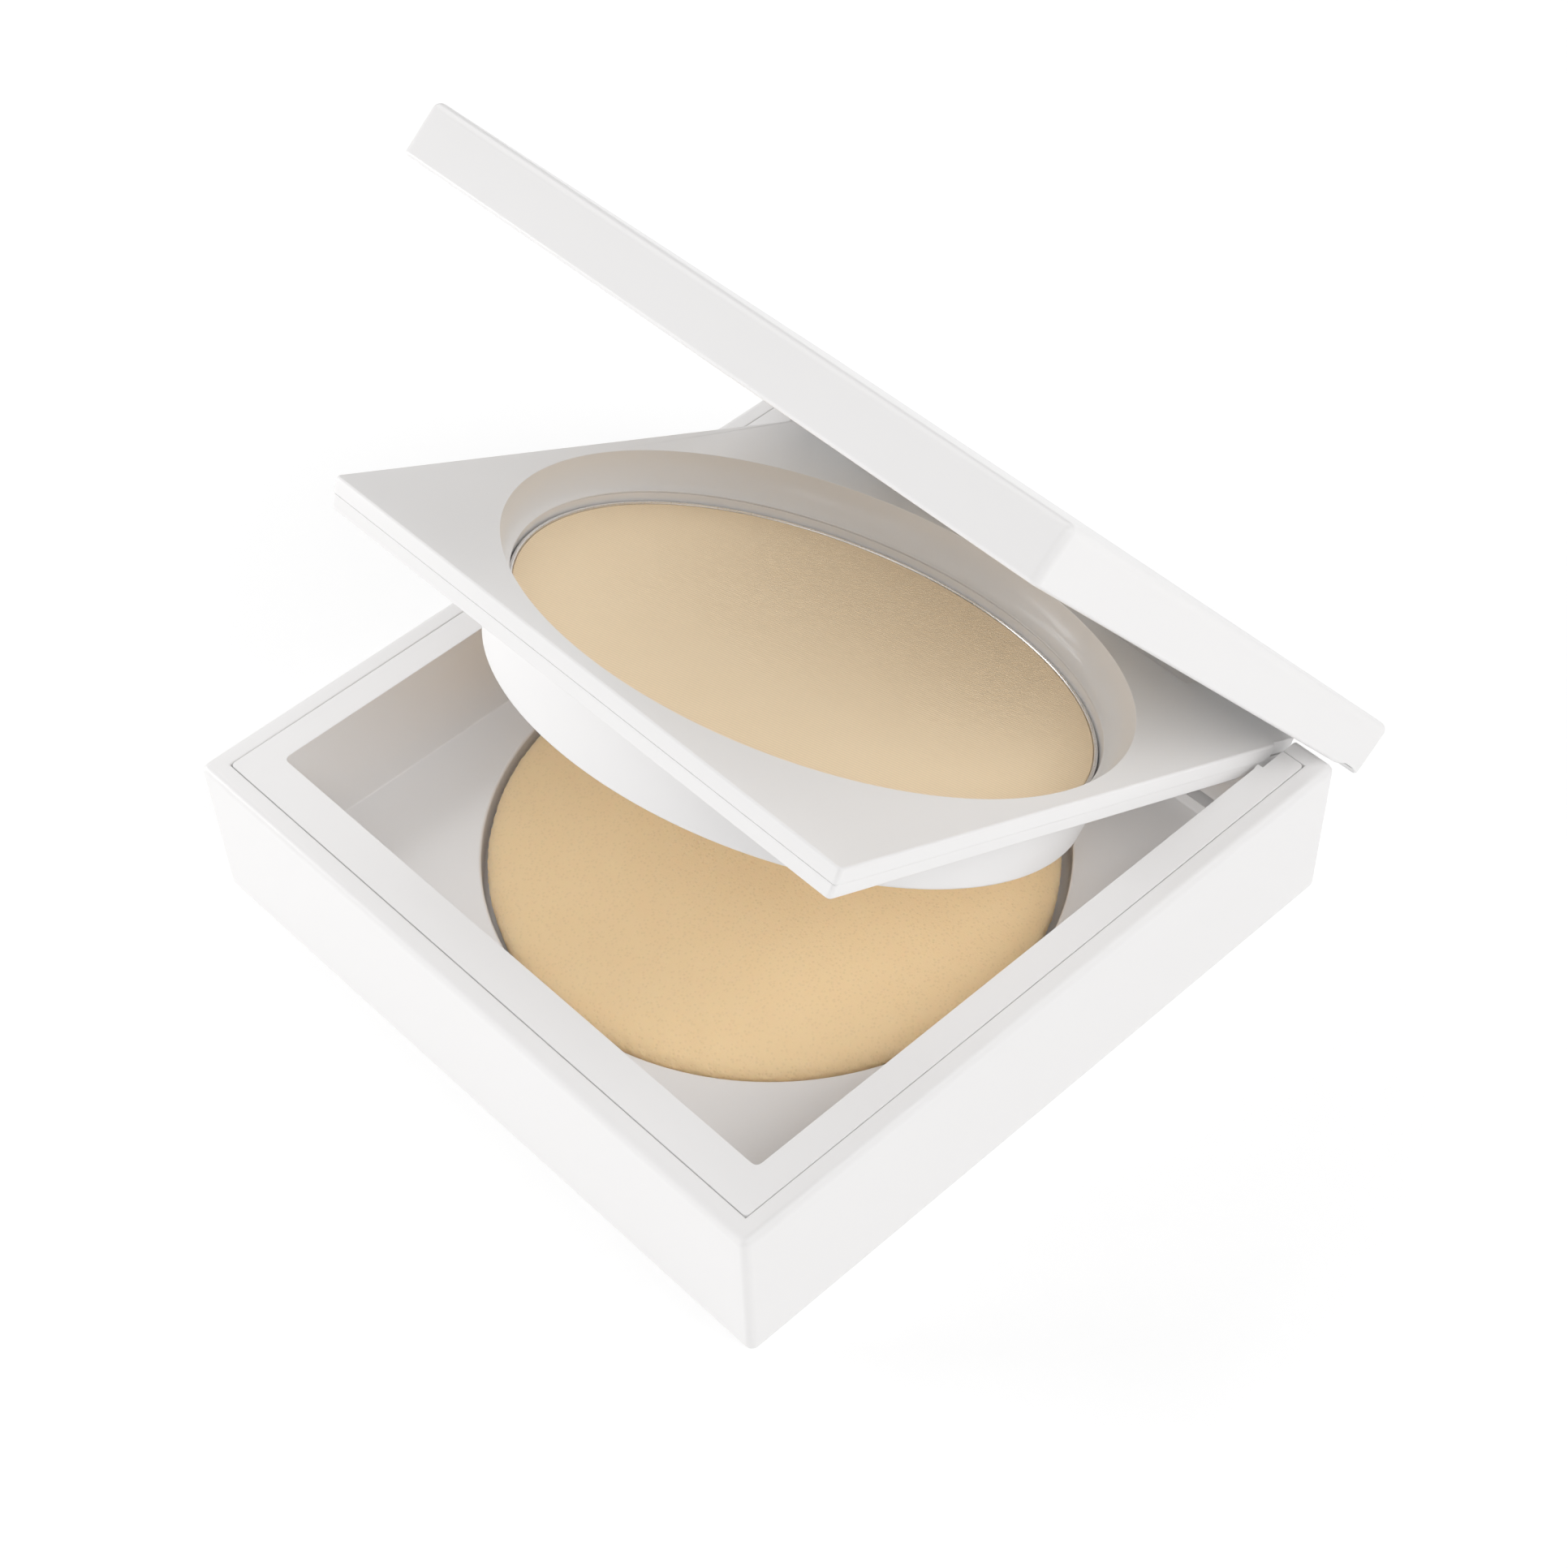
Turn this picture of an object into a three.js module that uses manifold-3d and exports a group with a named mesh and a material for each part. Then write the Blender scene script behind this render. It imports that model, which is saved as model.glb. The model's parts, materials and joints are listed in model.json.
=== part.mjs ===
// A square three-level powder compact, shown open: a base with a round puff in its well, a tray with a
// pan of pressed powder that folds down flush into the base, and a mirror lid that closes over both.
// Tray and lid turn on one hinge line at the back. Millimetres, +Z up, front towards -Y.
// The origin is the middle of the base's underside.

import * as THREE from 'three';
import { mergeVertices } from 'three/addons/utils/BufferGeometryUtils.js';
import Module from 'manifold-3d';

const wasm = await Module();
wasm.setup();

// ---------------------------------------------------------------- driving dimensions

const BASE_HALF = 40;                 // half the side of the square base
const BASE_HEIGHT = 18.5;             // underside to rim
const SHELL_WALL = 2.2;               // rim width of the outer shell
const SHELL_FLOOR = 1.2;
const SHELL_LEDGE = 16.9;             // height of the step that carries the liner's flange
const SHELL_STEP = 1.2;               // the step's width
const SHELL_DRAFT = 0.2;              // the shell's foot is this much narrower on each side
const FOOT_ROUND = 0.9;               // the shell's lower outer edge
const RIM_ROUND = 1;                  // outer edges at the shell's rim and on the lid's top
const UPRIGHT_ROUND = 0.8;            // upright outer corners of shell and lid
const SEAM = 0.2;                     // open line between mouldings
const THROUGH = 1;                    // a cutter passes this far beyond a face

const WELL_Y = 1.2;                   // the round parts sit a little behind the middle
const RECESS_HALF = 34.5;             // square recess in the liner
const RECESS_FRONT = -33.4;
const RECESS_BACK = 34.5;
const RECESS_FLOOR = 5.9;
const RECESS_CORNER = 0.6;
const LINER_WALL = 1.3;
const WELL_RADIUS = 30.3;             // round well in the recess floor
const WELL_FLOOR = 2.4;

const HINGE_Y = 36.4;                 // one axis for tray and lid, along X
const HINGE_Z = 11.2;
const PIN_RADIUS = 0.75;
const PIN_FIT = 0.1;                  // air round the pin in every knuckle
const BARREL_RADIUS = 2.6;
const EAR_COVER = 1;                  // wall left behind a hinge ear, to the base's outside
const PIN_END = 2.5;                  // pin's end to the base's side
const PIN_START = 3;                  // pin's inner end, from the middle
const BAY_HALF = 35;                  // the hinge bay at the back of the base
const BAY_FRONT = 34.7;
const BAY_FLOOR = 7.4;
const BAY_SILL = 6.2;                 // the bay's opening in the shell's back wall starts here

const BASE_KNUCKLE_END = 7.6;         // knuckles along X, counted from the middle
const LID_ARM_START = 8;
const LID_ARM_END = 22;
const TRAY_ARM_START = 22.4;

const TRAY_HALF = 34.15;
const TRAY_FRONT = -33.1;
const TRAY_BACK = 34.2;
const TRAY_SKIN = 1.6;                // top plate's thickness at its edge
const TRAY_PLATE = 3.45;              // top plate and bowl flange together
const TRAY_ROUND = 0.25;              // the tray's outer edges
const MOUTH_RADIUS = 32.3;            // round mouth in the tray's top
const LIP_RADIUS = 30.35;             // the mouth narrows to this lip
const LIP_DEPTH = 3.7;
const COLLAR_RADIUS = 32.8;           // the collar round the mouth, outside
const COLLAR_LOW_RADIUS = 31.2;
const COLLAR_CONE = 0.9;              // height over which the collar widens
const BOWL_DEPTH = 11;                // tray top to the bowl's underside
const BOWL_RADIUS = 31.2;             // at the underside
const BOWL_TOP_RADIUS = 31.75;        // where the neck starts
const BOWL_NECK_LOW = 13.9;           // the wall flares from here up to the flange
const BOWL_NECK_RADIUS = 32.8;
const BOWL_CHAMFER = 0.4;
const BOWL_FLOOR = 1.2;
const BOWL_BORE = 30.4;

const PAN_RADIUS = 30.2;
const PAN_DEPTH = 4.6;
const PAN_DROP = 4.75;                // pan rim below the tray's top
const PAN_WALL = 0.4;
const PAN_DRAFT = 0.2;
const PAN_CHAMFER = 0.4;
const POWDER_DROP = 0.25;             // powder below the pan's rim
const POWDER_EDGE = 0.25;             // the cake's broken edge
const POWDER_FIT = 0.15;              // air round the cake
const PAN_GLUE_RADIUS = 20;
const FIT = 0.1;                      // air between a part and the film or floor under it

const LID_HALF_X = 39.7;
const LID_HALF_Y = 40;
const LID_HEIGHT = 5.8;
const LID_GAP = 0.2;                  // closed lid to base rim
const LID_ROOF = 1.4;
const LID_WALL = 2.1;
const FRAME_HEIGHT = 2.7;
const MIRROR_HALF = 33;
const MIRROR_THICK = 1.1;
const MIRROR_INSET = 0.15;            // mirror's face above the lid's mating face
const MIRROR_POCKET = 1.9;            // depth of the mirror's pocket
const MIRROR_FIT = 0.2;
const GLUE_INSET = 4;                 // the film is this much smaller than the mirror
const GLUE_THICK = 0.4;
const LID_RELIEF = 8;                 // the underside is hollowed by this radius about the hinge line,
                                      // so that it clears the base's back rim as it turns

const PUFF_RADIUS = 29.4;
const PUFF_TOP = 7.3;
const PUFF_SOFT = 1.6;                // radius of its upper edge
const PUFF_CROWN = 0.3;               // how much higher its middle stands
const PUFF_SHIFT_X = 0.15;            // it lies a little off the well's middle
const PUFF_SHIFT_Y = -0.45;

const TRAY_OPEN = THREE.MathUtils.degToRad(27.5);
const LID_OPEN = THREE.MathUtils.degToRad(51.2);

const MAGNET_X = 25;                  // closure pieces, left and right of the middle
const MAGNET_LENGTH = 8;
const MAGNET_WIDTH = 1.4;
const MAGNET_HEIGHT = 3;
const STRIKER_WIDTH = 1.6;
const STRIKER_THICK = 0.8;
const POCKET_FIT = 0.2;               // air round a closure piece in its pocket
const ROUND_STEPS = 72;               // facets round a full circle
const CORNER_STEPS = 4;               // facets round a quarter turn of an edge

// derived levels, closed
const LID_LOW = BASE_HEIGHT + LID_GAP;
const LID_HIGH = LID_LOW + LID_HEIGHT;
const TRAY_TOP = BASE_HEIGHT;
const TRAY_LOW = TRAY_TOP - TRAY_PLATE;
const LIP_LOW = TRAY_TOP - LIP_DEPTH;
const BOWL_LOW = TRAY_TOP - BOWL_DEPTH;
const PAN_HIGH = TRAY_TOP - PAN_DROP;
const PAN_LOW = PAN_HIGH - PAN_DEPTH;

// ---------------------------------------------------------------- solids

// A closed geometry becomes a solid, turned right side out if its faces point inwards.
function solid(geometry) {
  geometry.deleteAttribute('normal');
  geometry.deleteAttribute('uv');
  const merged = mergeVertices(geometry, 1e-4);
  const place = merged.getAttribute('position');
  const corners = Array.from(merged.getIndex().array);
  const [a, b, c] = [new THREE.Vector3(), new THREE.Vector3(), new THREE.Vector3()];
  let volume = 0;
  const faces = [];
  for (let i = 0; i < corners.length; i += 3) {
    const [p, q, r] = corners.slice(i, i + 3);
    if (p === q || q === r || r === p) continue;
    faces.push([p, q, r]);
    volume += a.fromBufferAttribute(place, p).dot(
      b.fromBufferAttribute(place, q).cross(c.fromBufferAttribute(place, r)));
  }
  const triVerts = new Uint32Array(faces.flatMap(([p, q, r]) => (volume < 0 ? [p, r, q] : [p, q, r])));
  return new wasm.Manifold(new wasm.Mesh({ numProp: 3, vertProperties: place.array.slice(), triVerts }));
}

function join(...solids) {
  return solids.reduce((whole, piece) => whole.add(piece));
}

function cut(whole, ...tools) {
  return tools.reduce((rest, tool) => rest.subtract(tool), whole);
}

// ---------------------------------------------------------------- shapes

// One level of a loft: a rounded rectangle at height z.
function ring({ half, front, back, corner, z }) {
  const points = [];
  const centres = [[half - corner, back - corner], [corner - half, back - corner],
    [corner - half, front + corner], [half - corner, front + corner]];
  centres.forEach(([x, y], quarter) => {
    for (let step = 0; step <= CORNER_STEPS; step += 1) {
      const angle = (quarter + step / CORNER_STEPS) * Math.PI / 2;
      points.push(new THREE.Vector3(x + corner * Math.cos(angle), y + corner * Math.sin(angle), z));
    }
  });
  return points;
}

// Rings stacked from the bottom up, closed by a flat fan at each end.
function loft(rings) {
  const count = rings[0].length;
  const middle = (points) => points.reduce((sum, p) => sum.add(p), new THREE.Vector3()).divideScalar(count);
  const points = [...rings.flat(), middle(rings[0]), middle(rings.at(-1))];
  const low = rings.length * count;
  const index = [];
  for (let level = 0; level + 1 < rings.length; level += 1) {
    for (let i = 0; i < count; i += 1) {
      const [a, b] = [level * count + i, level * count + (i + 1) % count];
      index.push(a, b, b + count, a, b + count, a + count);
    }
  }
  for (let i = 0; i < count; i += 1) {
    const next = (i + 1) % count;
    index.push(low, next, i);
    index.push(low + 1, low - count + i, low - count + next);
  }
  const geometry = new THREE.BufferGeometry().setFromPoints(points);
  geometry.setIndex(index);
  return geometry;
}

// A slab with rounded upright corners, and its low and high edges rounded too.
function slab({ half, front = -half, back = half, low, high, corner = 0.5, lowRound = 0, highRound = 0,
  draft = 0 }) {
  const levels = [];
  const arc = (radius) => (radius > 0 ? CORNER_STEPS : 0);
  for (let step = 0; step <= arc(lowRound); step += 1) {
    const angle = lowRound > 0 ? step / CORNER_STEPS * Math.PI / 2 : 0;
    levels.push([low + lowRound * (1 - Math.cos(angle)), lowRound * (1 - Math.sin(angle)) + draft]);
  }
  for (let step = arc(highRound); step >= 0; step -= 1) {
    const angle = highRound > 0 ? step / CORNER_STEPS * Math.PI / 2 : 0;
    levels.push([high - highRound * (1 - Math.cos(angle)), highRound * (1 - Math.sin(angle))]);
  }
  return solid(loft(levels.map(([z, inset]) => ring({ half: half - inset, front: front + inset,
    back: back - inset, corner: Math.max(corner, 0.05), z }))));
}

function block(x0, x1, y0, y1, z0, z1) {
  const geometry = new THREE.BoxGeometry(x1 - x0, y1 - y0, z1 - z0);
  geometry.translate((x0 + x1) / 2, (y0 + y1) / 2, (z0 + z1) / 2);
  return solid(geometry);
}

// A turned solid about an upright axis at (x, y), from [radius, height] pairs that start and end on it.
function turned(profile, x = 0, y = WELL_Y) {
  const points = profile.map(([radius, height]) => new THREE.Vector2(radius, height));
  const geometry = new THREE.LatheGeometry(points, ROUND_STEPS);
  geometry.rotateX(Math.PI / 2);
  geometry.scale(1, -1, 1);
  geometry.translate(x, y, 0);
  return solid(geometry);
}

function drum(radius, low, high, x = 0, y = WELL_Y) {
  return turned([[0, low], [radius, low], [radius, high], [0, high]], x, y);
}

// A shape drawn in the Y-Z plane and drawn out along X.
function alongX(shape, x0, x1) {
  const geometry = new THREE.ExtrudeGeometry(shape, { depth: x1 - x0, bevelEnabled: false,
    curveSegments: 12 });
  geometry.applyMatrix4(new THREE.Matrix4().makeBasis(new THREE.Vector3(0, 1, 0),
    new THREE.Vector3(0, 0, 1), new THREE.Vector3(1, 0, 0)));
  geometry.translate(x0, 0, 0);
  return solid(geometry);
}

// A round bar on the hinge line.
function hingeRod(radius, x0, x1) {
  return alongX(new THREE.Shape().absarc(HINGE_Y, HINGE_Z, radius, 0, 2 * Math.PI), x0, x1);
}

// The same cutting or adding solid on the right and on the left.
function bothSides(make) {
  return join(make(1), make(-1));
}

function span(side, near, far) {
  return side > 0 ? [near, far] : [-far, -near];
}

// ---------------------------------------------------------------- scene graph

const compact = new THREE.Group();

// A group that turns about the hinge line and holds pieces drawn in the closed position.
function leaf(angle) {
  const pivot = new THREE.Group();
  pivot.position.set(0, HINGE_Y, HINGE_Z);
  pivot.rotation.x = -angle;
  const closed = new THREE.Group();
  closed.position.set(0, -HINGE_Y, -HINGE_Z);
  pivot.add(closed);
  compact.add(pivot);
  return closed;
}

const base = new THREE.Group();
compact.add(base);
const tray = leaf(TRAY_OPEN);
const lid = leaf(LID_OPEN);

const finish = {
  white: { color: '#eeeeee', roughness: 0.28, metalness: 0 },
  aluminium: { color: '#c9cacc', roughness: 0.25, metalness: 1 },
  steel: { color: '#b4b6ba', roughness: 0.35, metalness: 1 },
  magnet: { color: '#8e9094', roughness: 0.4, metalness: 1 },
  powder: { color: '#e3c89f', roughness: 0.9, metalness: 0 },
  puff: { color: '#efc896', roughness: 0.95, metalness: 0 },
  glue: { color: '#f2efe6', roughness: 0.8, metalness: 0 },
  mirror: { color: '#dfe3e6', roughness: 0.03, metalness: 1 },
};

function add(group, name, body, look) {
  const { vertProperties, triVerts } = body.getMesh();
  const geometry = new THREE.BufferGeometry();
  geometry.setAttribute('position', new THREE.BufferAttribute(vertProperties, 3));
  geometry.setIndex(new THREE.BufferAttribute(triVerts, 1));
  geometry.computeVertexNormals();
  const mesh = new THREE.Mesh(geometry, new THREE.MeshStandardMaterial(finish[look]));
  mesh.name = name;
  group.add(mesh);
}

// ---------------------------------------------------------------- base

// Outer shell: an open square box with a step for the liner, and a wide gap in its back for the hinge.
function baseShell() {
  const outside = slab({ half: BASE_HALF, low: 0, high: BASE_HEIGHT, corner: UPRIGHT_ROUND,
    lowRound: FOOT_ROUND, highRound: RIM_ROUND, draft: SHELL_DRAFT });
  const inner = BASE_HALF - SHELL_WALL;
  const above = BASE_HEIGHT + THROUGH;
  const hollow = slab({ half: inner - SHELL_STEP, low: SHELL_FLOOR, high: above });
  const seat = slab({ half: inner, low: SHELL_LEDGE, high: above });
  const gap = block(-BAY_HALF, BAY_HALF, BAY_FRONT, BASE_HALF + THROUGH, BAY_SILL, above);
  const earEnd = BASE_HALF - EAR_COVER;
  const ears = bothSides((side) => block(...span(side, BAY_HALF + SEAM, earEnd),
    HINGE_Y - BARREL_RADIUS, earEnd, SHELL_FLOOR / 2, HINGE_Z + BARREL_RADIUS));
  const holeEnd = BASE_HALF - SHELL_WALL + SEAM;
  const pinHole = hingeRod(PIN_RADIUS + PIN_FIT, -holeEnd, holeEnd);
  return cut(join(cut(outside, hollow, seat, gap), ears), pinHole);
}

// Liner: a flanged tub dropped into the shell, with the puff's well and the middle knuckle.
function baseLiner() {
  const edge = BASE_HALF - SHELL_WALL - SEAM;
  const tub = RECESS_HALF + LINER_WALL;
  const above = BASE_HEIGHT + THROUGH;
  const overlap = 0.5;
  const flange = slab({ half: edge, low: SHELL_LEDGE + SEAM, high: BASE_HEIGHT, highRound: 0.2 });
  const walls = slab({ half: tub, front: RECESS_FRONT - LINER_WALL, back: tub,
    low: RECESS_FLOOR - LINER_WALL, high: BASE_HEIGHT - overlap });
  const cup = drum(WELL_RADIUS + LINER_WALL, SHELL_FLOOR + SEAM, RECESS_FLOOR - overlap);
  const recess = slab({ half: RECESS_HALF, front: RECESS_FRONT, back: RECESS_BACK, low: RECESS_FLOOR,
    high: above, corner: RECESS_CORNER });
  const well = drum(WELL_RADIUS, WELL_FLOOR, RECESS_FLOOR + THROUGH);
  const bay = block(-BAY_HALF, BAY_HALF, BAY_FRONT, BASE_HALF, BAY_FLOOR, above);
  const lowWall = block(-RECESS_HALF + FIT, RECESS_HALF - FIT, RECESS_BACK - overlap,
    BAY_FRONT + overlap, BAY_FLOOR, above);
  const earRoom = BARREL_RADIUS + 0.3;
  const ears = bothSides((side) => block(...span(side, BAY_HALF - SEAM, BASE_HALF),
    HINGE_Y - earRoom, BASE_HALF, 0, HINGE_Z + earRoom));
  const postFoot = BAY_FLOOR - 2;
  const postHeel = BAY_FLOOR - 0.8;
  const postFront = HINGE_Y - 1.4;
  const post = new THREE.Shape();
  post.moveTo(postFront, postFoot);
  post.lineTo(HINGE_Y - SEAM, postFoot);
  post.lineTo(HINGE_Y - SEAM, postHeel);
  post.lineTo(HINGE_Y + 1.2, postHeel);
  post.lineTo(HINGE_Y + BARREL_RADIUS, HINGE_Z);
  post.absarc(HINGE_Y, HINGE_Z, BARREL_RADIUS, 0, Math.PI);
  post.lineTo(postFront, postFoot);
  const knuckle = alongX(post, -BASE_KNUCKLE_END, BASE_KNUCKLE_END);
  const troughFloor = block(-BAY_HALF, BAY_HALF, BAY_FRONT, HINGE_Y, BAY_FLOOR - 1, BAY_FLOOR);
  const body = cut(join(flange, walls, cup), recess, well, bay, lowWall, ears);
  const pinHole = hingeRod(PIN_RADIUS + PIN_FIT, -BASE_HALF, BASE_HALF);
  return cut(join(body, troughFloor, knuckle), pinHole);
}

// Puff: a thin round sponge with soft edges, lying a little towards the front of its well.
function puff() {
  const low = WELL_FLOOR + FIT;
  const heel = 1;
  const bends = 6;
  const profile = [[0, low], [PUFF_RADIUS - heel, low], [PUFF_RADIUS, low + heel]];
  for (let step = 0; step <= bends; step += 1) {
    const angle = step / bends * Math.PI / 2;
    profile.push([PUFF_RADIUS - PUFF_SOFT * (1 - Math.cos(angle)),
      PUFF_TOP - PUFF_CROWN - PUFF_SOFT * (1 - Math.sin(angle))]);
  }
  profile.push([PUFF_RADIUS * 0.6, PUFF_TOP - PUFF_CROWN / 3], [0, PUFF_TOP]);
  return turned(profile, PUFF_SHIFT_X, WELL_Y + PUFF_SHIFT_Y);
}

add(base, 'base_shell', baseShell(), 'white');
add(base, 'base_liner', baseLiner(), 'white');
add(base, 'sponge_puff', puff(), 'puff');

for (const [word, side] of [['left', -1], ['right', 1]]) {
  const pin = hingeRod(PIN_RADIUS, ...span(side, PIN_START, BASE_HALF - PIN_END));
  add(base, `hinge_pin_${word}`, pin, 'steel');
  const back = RECESS_FRONT - LINER_WALL - SEAM;
  const top = SHELL_LEDGE - 0.3;
  add(base, `base_magnet_${word}`, block(side * MAGNET_X - MAGNET_LENGTH / 2,
    side * MAGNET_X + MAGNET_LENGTH / 2, back - MAGNET_WIDTH, back, top - MAGNET_HEIGHT, top), 'magnet');
}

// ---------------------------------------------------------------- tray

// Top plate: a thin square skin whose round mouth curves down into a collar.
function trayTopPlate() {
  const skin = slab({ half: TRAY_HALF, front: TRAY_FRONT, back: TRAY_BACK, low: TRAY_TOP - TRAY_SKIN,
    high: TRAY_TOP, highRound: TRAY_ROUND });
  const rear = bothSides((side) => block(...span(side, TRAY_ARM_START, TRAY_HALF - 0.05),
    TRAY_BACK - 1, HINGE_Y + 1.6, TRAY_TOP - TRAY_SKIN, TRAY_TOP));
  const swing = hingeRod(TRAY_TOP - HINGE_Z + 0.05, -BASE_HALF, BASE_HALF);
  const front = block(-BASE_HALF, BASE_HALF, -BASE_HALF, HINGE_Y, 0, BASE_HEIGHT + THROUGH);
  const collarTop = TRAY_TOP - TRAY_SKIN / 2;
  const collar = turned([[0, LIP_LOW], [COLLAR_LOW_RADIUS, LIP_LOW],
    [COLLAR_RADIUS, LIP_LOW + COLLAR_CONE], [COLLAR_RADIUS, collarTop], [0, collarTop]]);
  const mouth = [[0, LIP_LOW - THROUGH], [LIP_RADIUS, LIP_LOW - THROUGH], [LIP_RADIUS, LIP_LOW]];
  const bends = 5;
  for (let step = 1; step <= bends; step += 1) {
    const angle = step / bends * Math.PI / 2;
    mouth.push([LIP_RADIUS + (MOUTH_RADIUS - LIP_RADIUS) * Math.sin(angle),
      TRAY_TOP - LIP_DEPTH * Math.cos(angle)]);
  }
  mouth.push([MOUTH_RADIUS, TRAY_TOP + THROUGH], [0, TRAY_TOP + THROUGH]);
  const rearKept = rear.intersect(join(swing, front));
  return cut(join(skin, rearKept, collar), turned(mouth));
}

// Bowl: the tray's lower moulding, with the round bowl for the pan and the two outer hinge arms.
function trayBowl() {
  const flangeTop = TRAY_TOP - TRAY_SKIN - SEAM;
  const flange = slab({ half: TRAY_HALF - FIT, front: TRAY_FRONT + FIT, back: TRAY_BACK,
    low: TRAY_LOW, high: flangeTop, lowRound: TRAY_ROUND, draft: 0.15 });
  const bowlTop = TRAY_LOW + 0.5;
  const bowl = turned([[0, BOWL_LOW], [BOWL_RADIUS - BOWL_CHAMFER, BOWL_LOW],
    [BOWL_RADIUS, BOWL_LOW + BOWL_CHAMFER], [BOWL_TOP_RADIUS, BOWL_NECK_LOW],
    [BOWL_NECK_RADIUS, TRAY_LOW + FIT], [BOWL_NECK_RADIUS, bowlTop], [0, bowlTop]]);
  const floor = BOWL_LOW + BOWL_FLOOR;
  const seat = LIP_LOW - SEAM;
  const bore = turned([[0, floor], [BOWL_BORE, floor], [BOWL_BORE, seat],
    [COLLAR_LOW_RADIUS + SEAM, seat], [COLLAR_RADIUS + SEAM, seat + COLLAR_CONE + FIT],
    [COLLAR_RADIUS + SEAM, TRAY_TOP], [0, TRAY_TOP]]);
  const armFront = TRAY_BACK - 2.6;
  const side = new THREE.Shape();
  side.moveTo(armFront, flangeTop);
  side.lineTo(armFront, TRAY_LOW + 0.4);
  side.lineTo(HINGE_Y - BARREL_RADIUS, HINGE_Z + 1);
  side.lineTo(HINGE_Y - BARREL_RADIUS, HINGE_Z);
  side.absarc(HINGE_Y, HINGE_Z, BARREL_RADIUS, Math.PI, 2 * Math.PI);
  side.lineTo(HINGE_Y + BARREL_RADIUS, HINGE_Z + 3);
  side.lineTo(HINGE_Y + 2, flangeTop);
  const arms = bothSides((way) => alongX(side, ...span(way, TRAY_ARM_START, TRAY_HALF - 0.15)));
  const pinHole = hingeRod(PIN_RADIUS + PIN_FIT, -BASE_HALF, BASE_HALF);
  const strikers = bothSides((way) => strikerBox(way, POCKET_FIT));
  return cut(join(flange, bowl, arms), bore, pinHole, strikers);
}

function strikerBox(side, air) {
  const reach = MAGNET_LENGTH / 2 + air;
  const top = TRAY_TOP - TRAY_SKIN - SEAM - FIT;
  const near = TRAY_FRONT + 0.9;
  return block(side * MAGNET_X - reach, side * MAGNET_X + reach, near - air,
    near + STRIKER_WIDTH + air, top - STRIKER_THICK - air, top + 5 * air);
}

function pan() {
  const foot = PAN_RADIUS - PAN_DRAFT;
  const floor = PAN_LOW + PAN_WALL;
  const cup = turned([[0, PAN_LOW], [foot - PAN_CHAMFER, PAN_LOW], [foot, PAN_LOW + PAN_CHAMFER],
    [PAN_RADIUS, PAN_HIGH], [0, PAN_HIGH]]);
  const hollow = turned([[0, floor], [foot - PAN_WALL, floor],
    [PAN_RADIUS - PAN_WALL, PAN_HIGH + THROUGH], [0, PAN_HIGH + THROUGH]]);
  return cut(cup, hollow);
}

function powderCake() {
  const low = PAN_LOW + PAN_WALL + FIT;
  const top = PAN_HIGH - POWDER_DROP;
  const edge = PAN_RADIUS - PAN_WALL - POWDER_FIT;
  return turned([[0, low], [edge - POWDER_EDGE, low], [edge, top - POWDER_EDGE],
    [edge - POWDER_EDGE, top], [0, top]]);
}

add(tray, 'tray_top_plate', trayTopPlate(), 'white');
add(tray, 'tray_bowl', trayBowl(), 'white');
add(tray, 'powder_pan', pan(), 'aluminium');
add(tray, 'pressed_powder', powderCake(), 'powder');
add(tray, 'pan_adhesive', drum(PAN_GLUE_RADIUS, BOWL_LOW + BOWL_FLOOR + FIT, PAN_LOW - FIT), 'glue');
add(tray, 'tray_striker_left', strikerBox(-1, 0), 'steel');
add(tray, 'tray_striker_right', strikerBox(1, 0), 'steel');

// ---------------------------------------------------------------- lid

// Outer moulding: a shallow square tray, upside down, with two arms that reach down into the hinge.
function lidShell() {
  const outside = slab({ half: LID_HALF_X, front: -LID_HALF_Y, back: LID_HALF_Y, low: LID_LOW,
    high: LID_HIGH, corner: UPRIGHT_ROUND, lowRound: 0.4, highRound: RIM_ROUND });
  const hollow = slab({ half: LID_HALF_X - LID_WALL, front: -LID_HALF_Y + LID_WALL,
    back: LID_HALF_Y - LID_WALL, low: LID_LOW - THROUGH, high: LID_HIGH - LID_ROOF });
  const relief = hingeRod(LID_RELIEF, -BASE_HALF - THROUGH, BASE_HALF + THROUGH);
  const armTop = LID_HIGH - LID_ROOF + 0.3;
  const armBack = LID_HALF_Y - 1.2;
  const arm = new THREE.Shape();
  arm.moveTo(HINGE_Y - 1.8, armTop);
  arm.lineTo(HINGE_Y - 1.8, HINGE_Z + 2.4);
  arm.lineTo(HINGE_Y - BARREL_RADIUS, HINGE_Z);
  arm.absarc(HINGE_Y, HINGE_Z, BARREL_RADIUS, Math.PI, 2 * Math.PI);
  arm.lineTo(HINGE_Y + 1.2, HINGE_Z + 2.8);
  arm.lineTo(HINGE_Y + 1.2, LID_LOW - 0.3);
  arm.lineTo(armBack, LID_LOW + 1.2);
  arm.lineTo(armBack, armTop);
  const arms = bothSides((side) => alongX(arm, ...span(side, LID_ARM_START, LID_ARM_END)));
  const pinHole = hingeRod(PIN_RADIUS + PIN_FIT, -BASE_HALF, BASE_HALF);
  return cut(join(cut(outside, hollow, relief), arms), pinHole);
}

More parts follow.
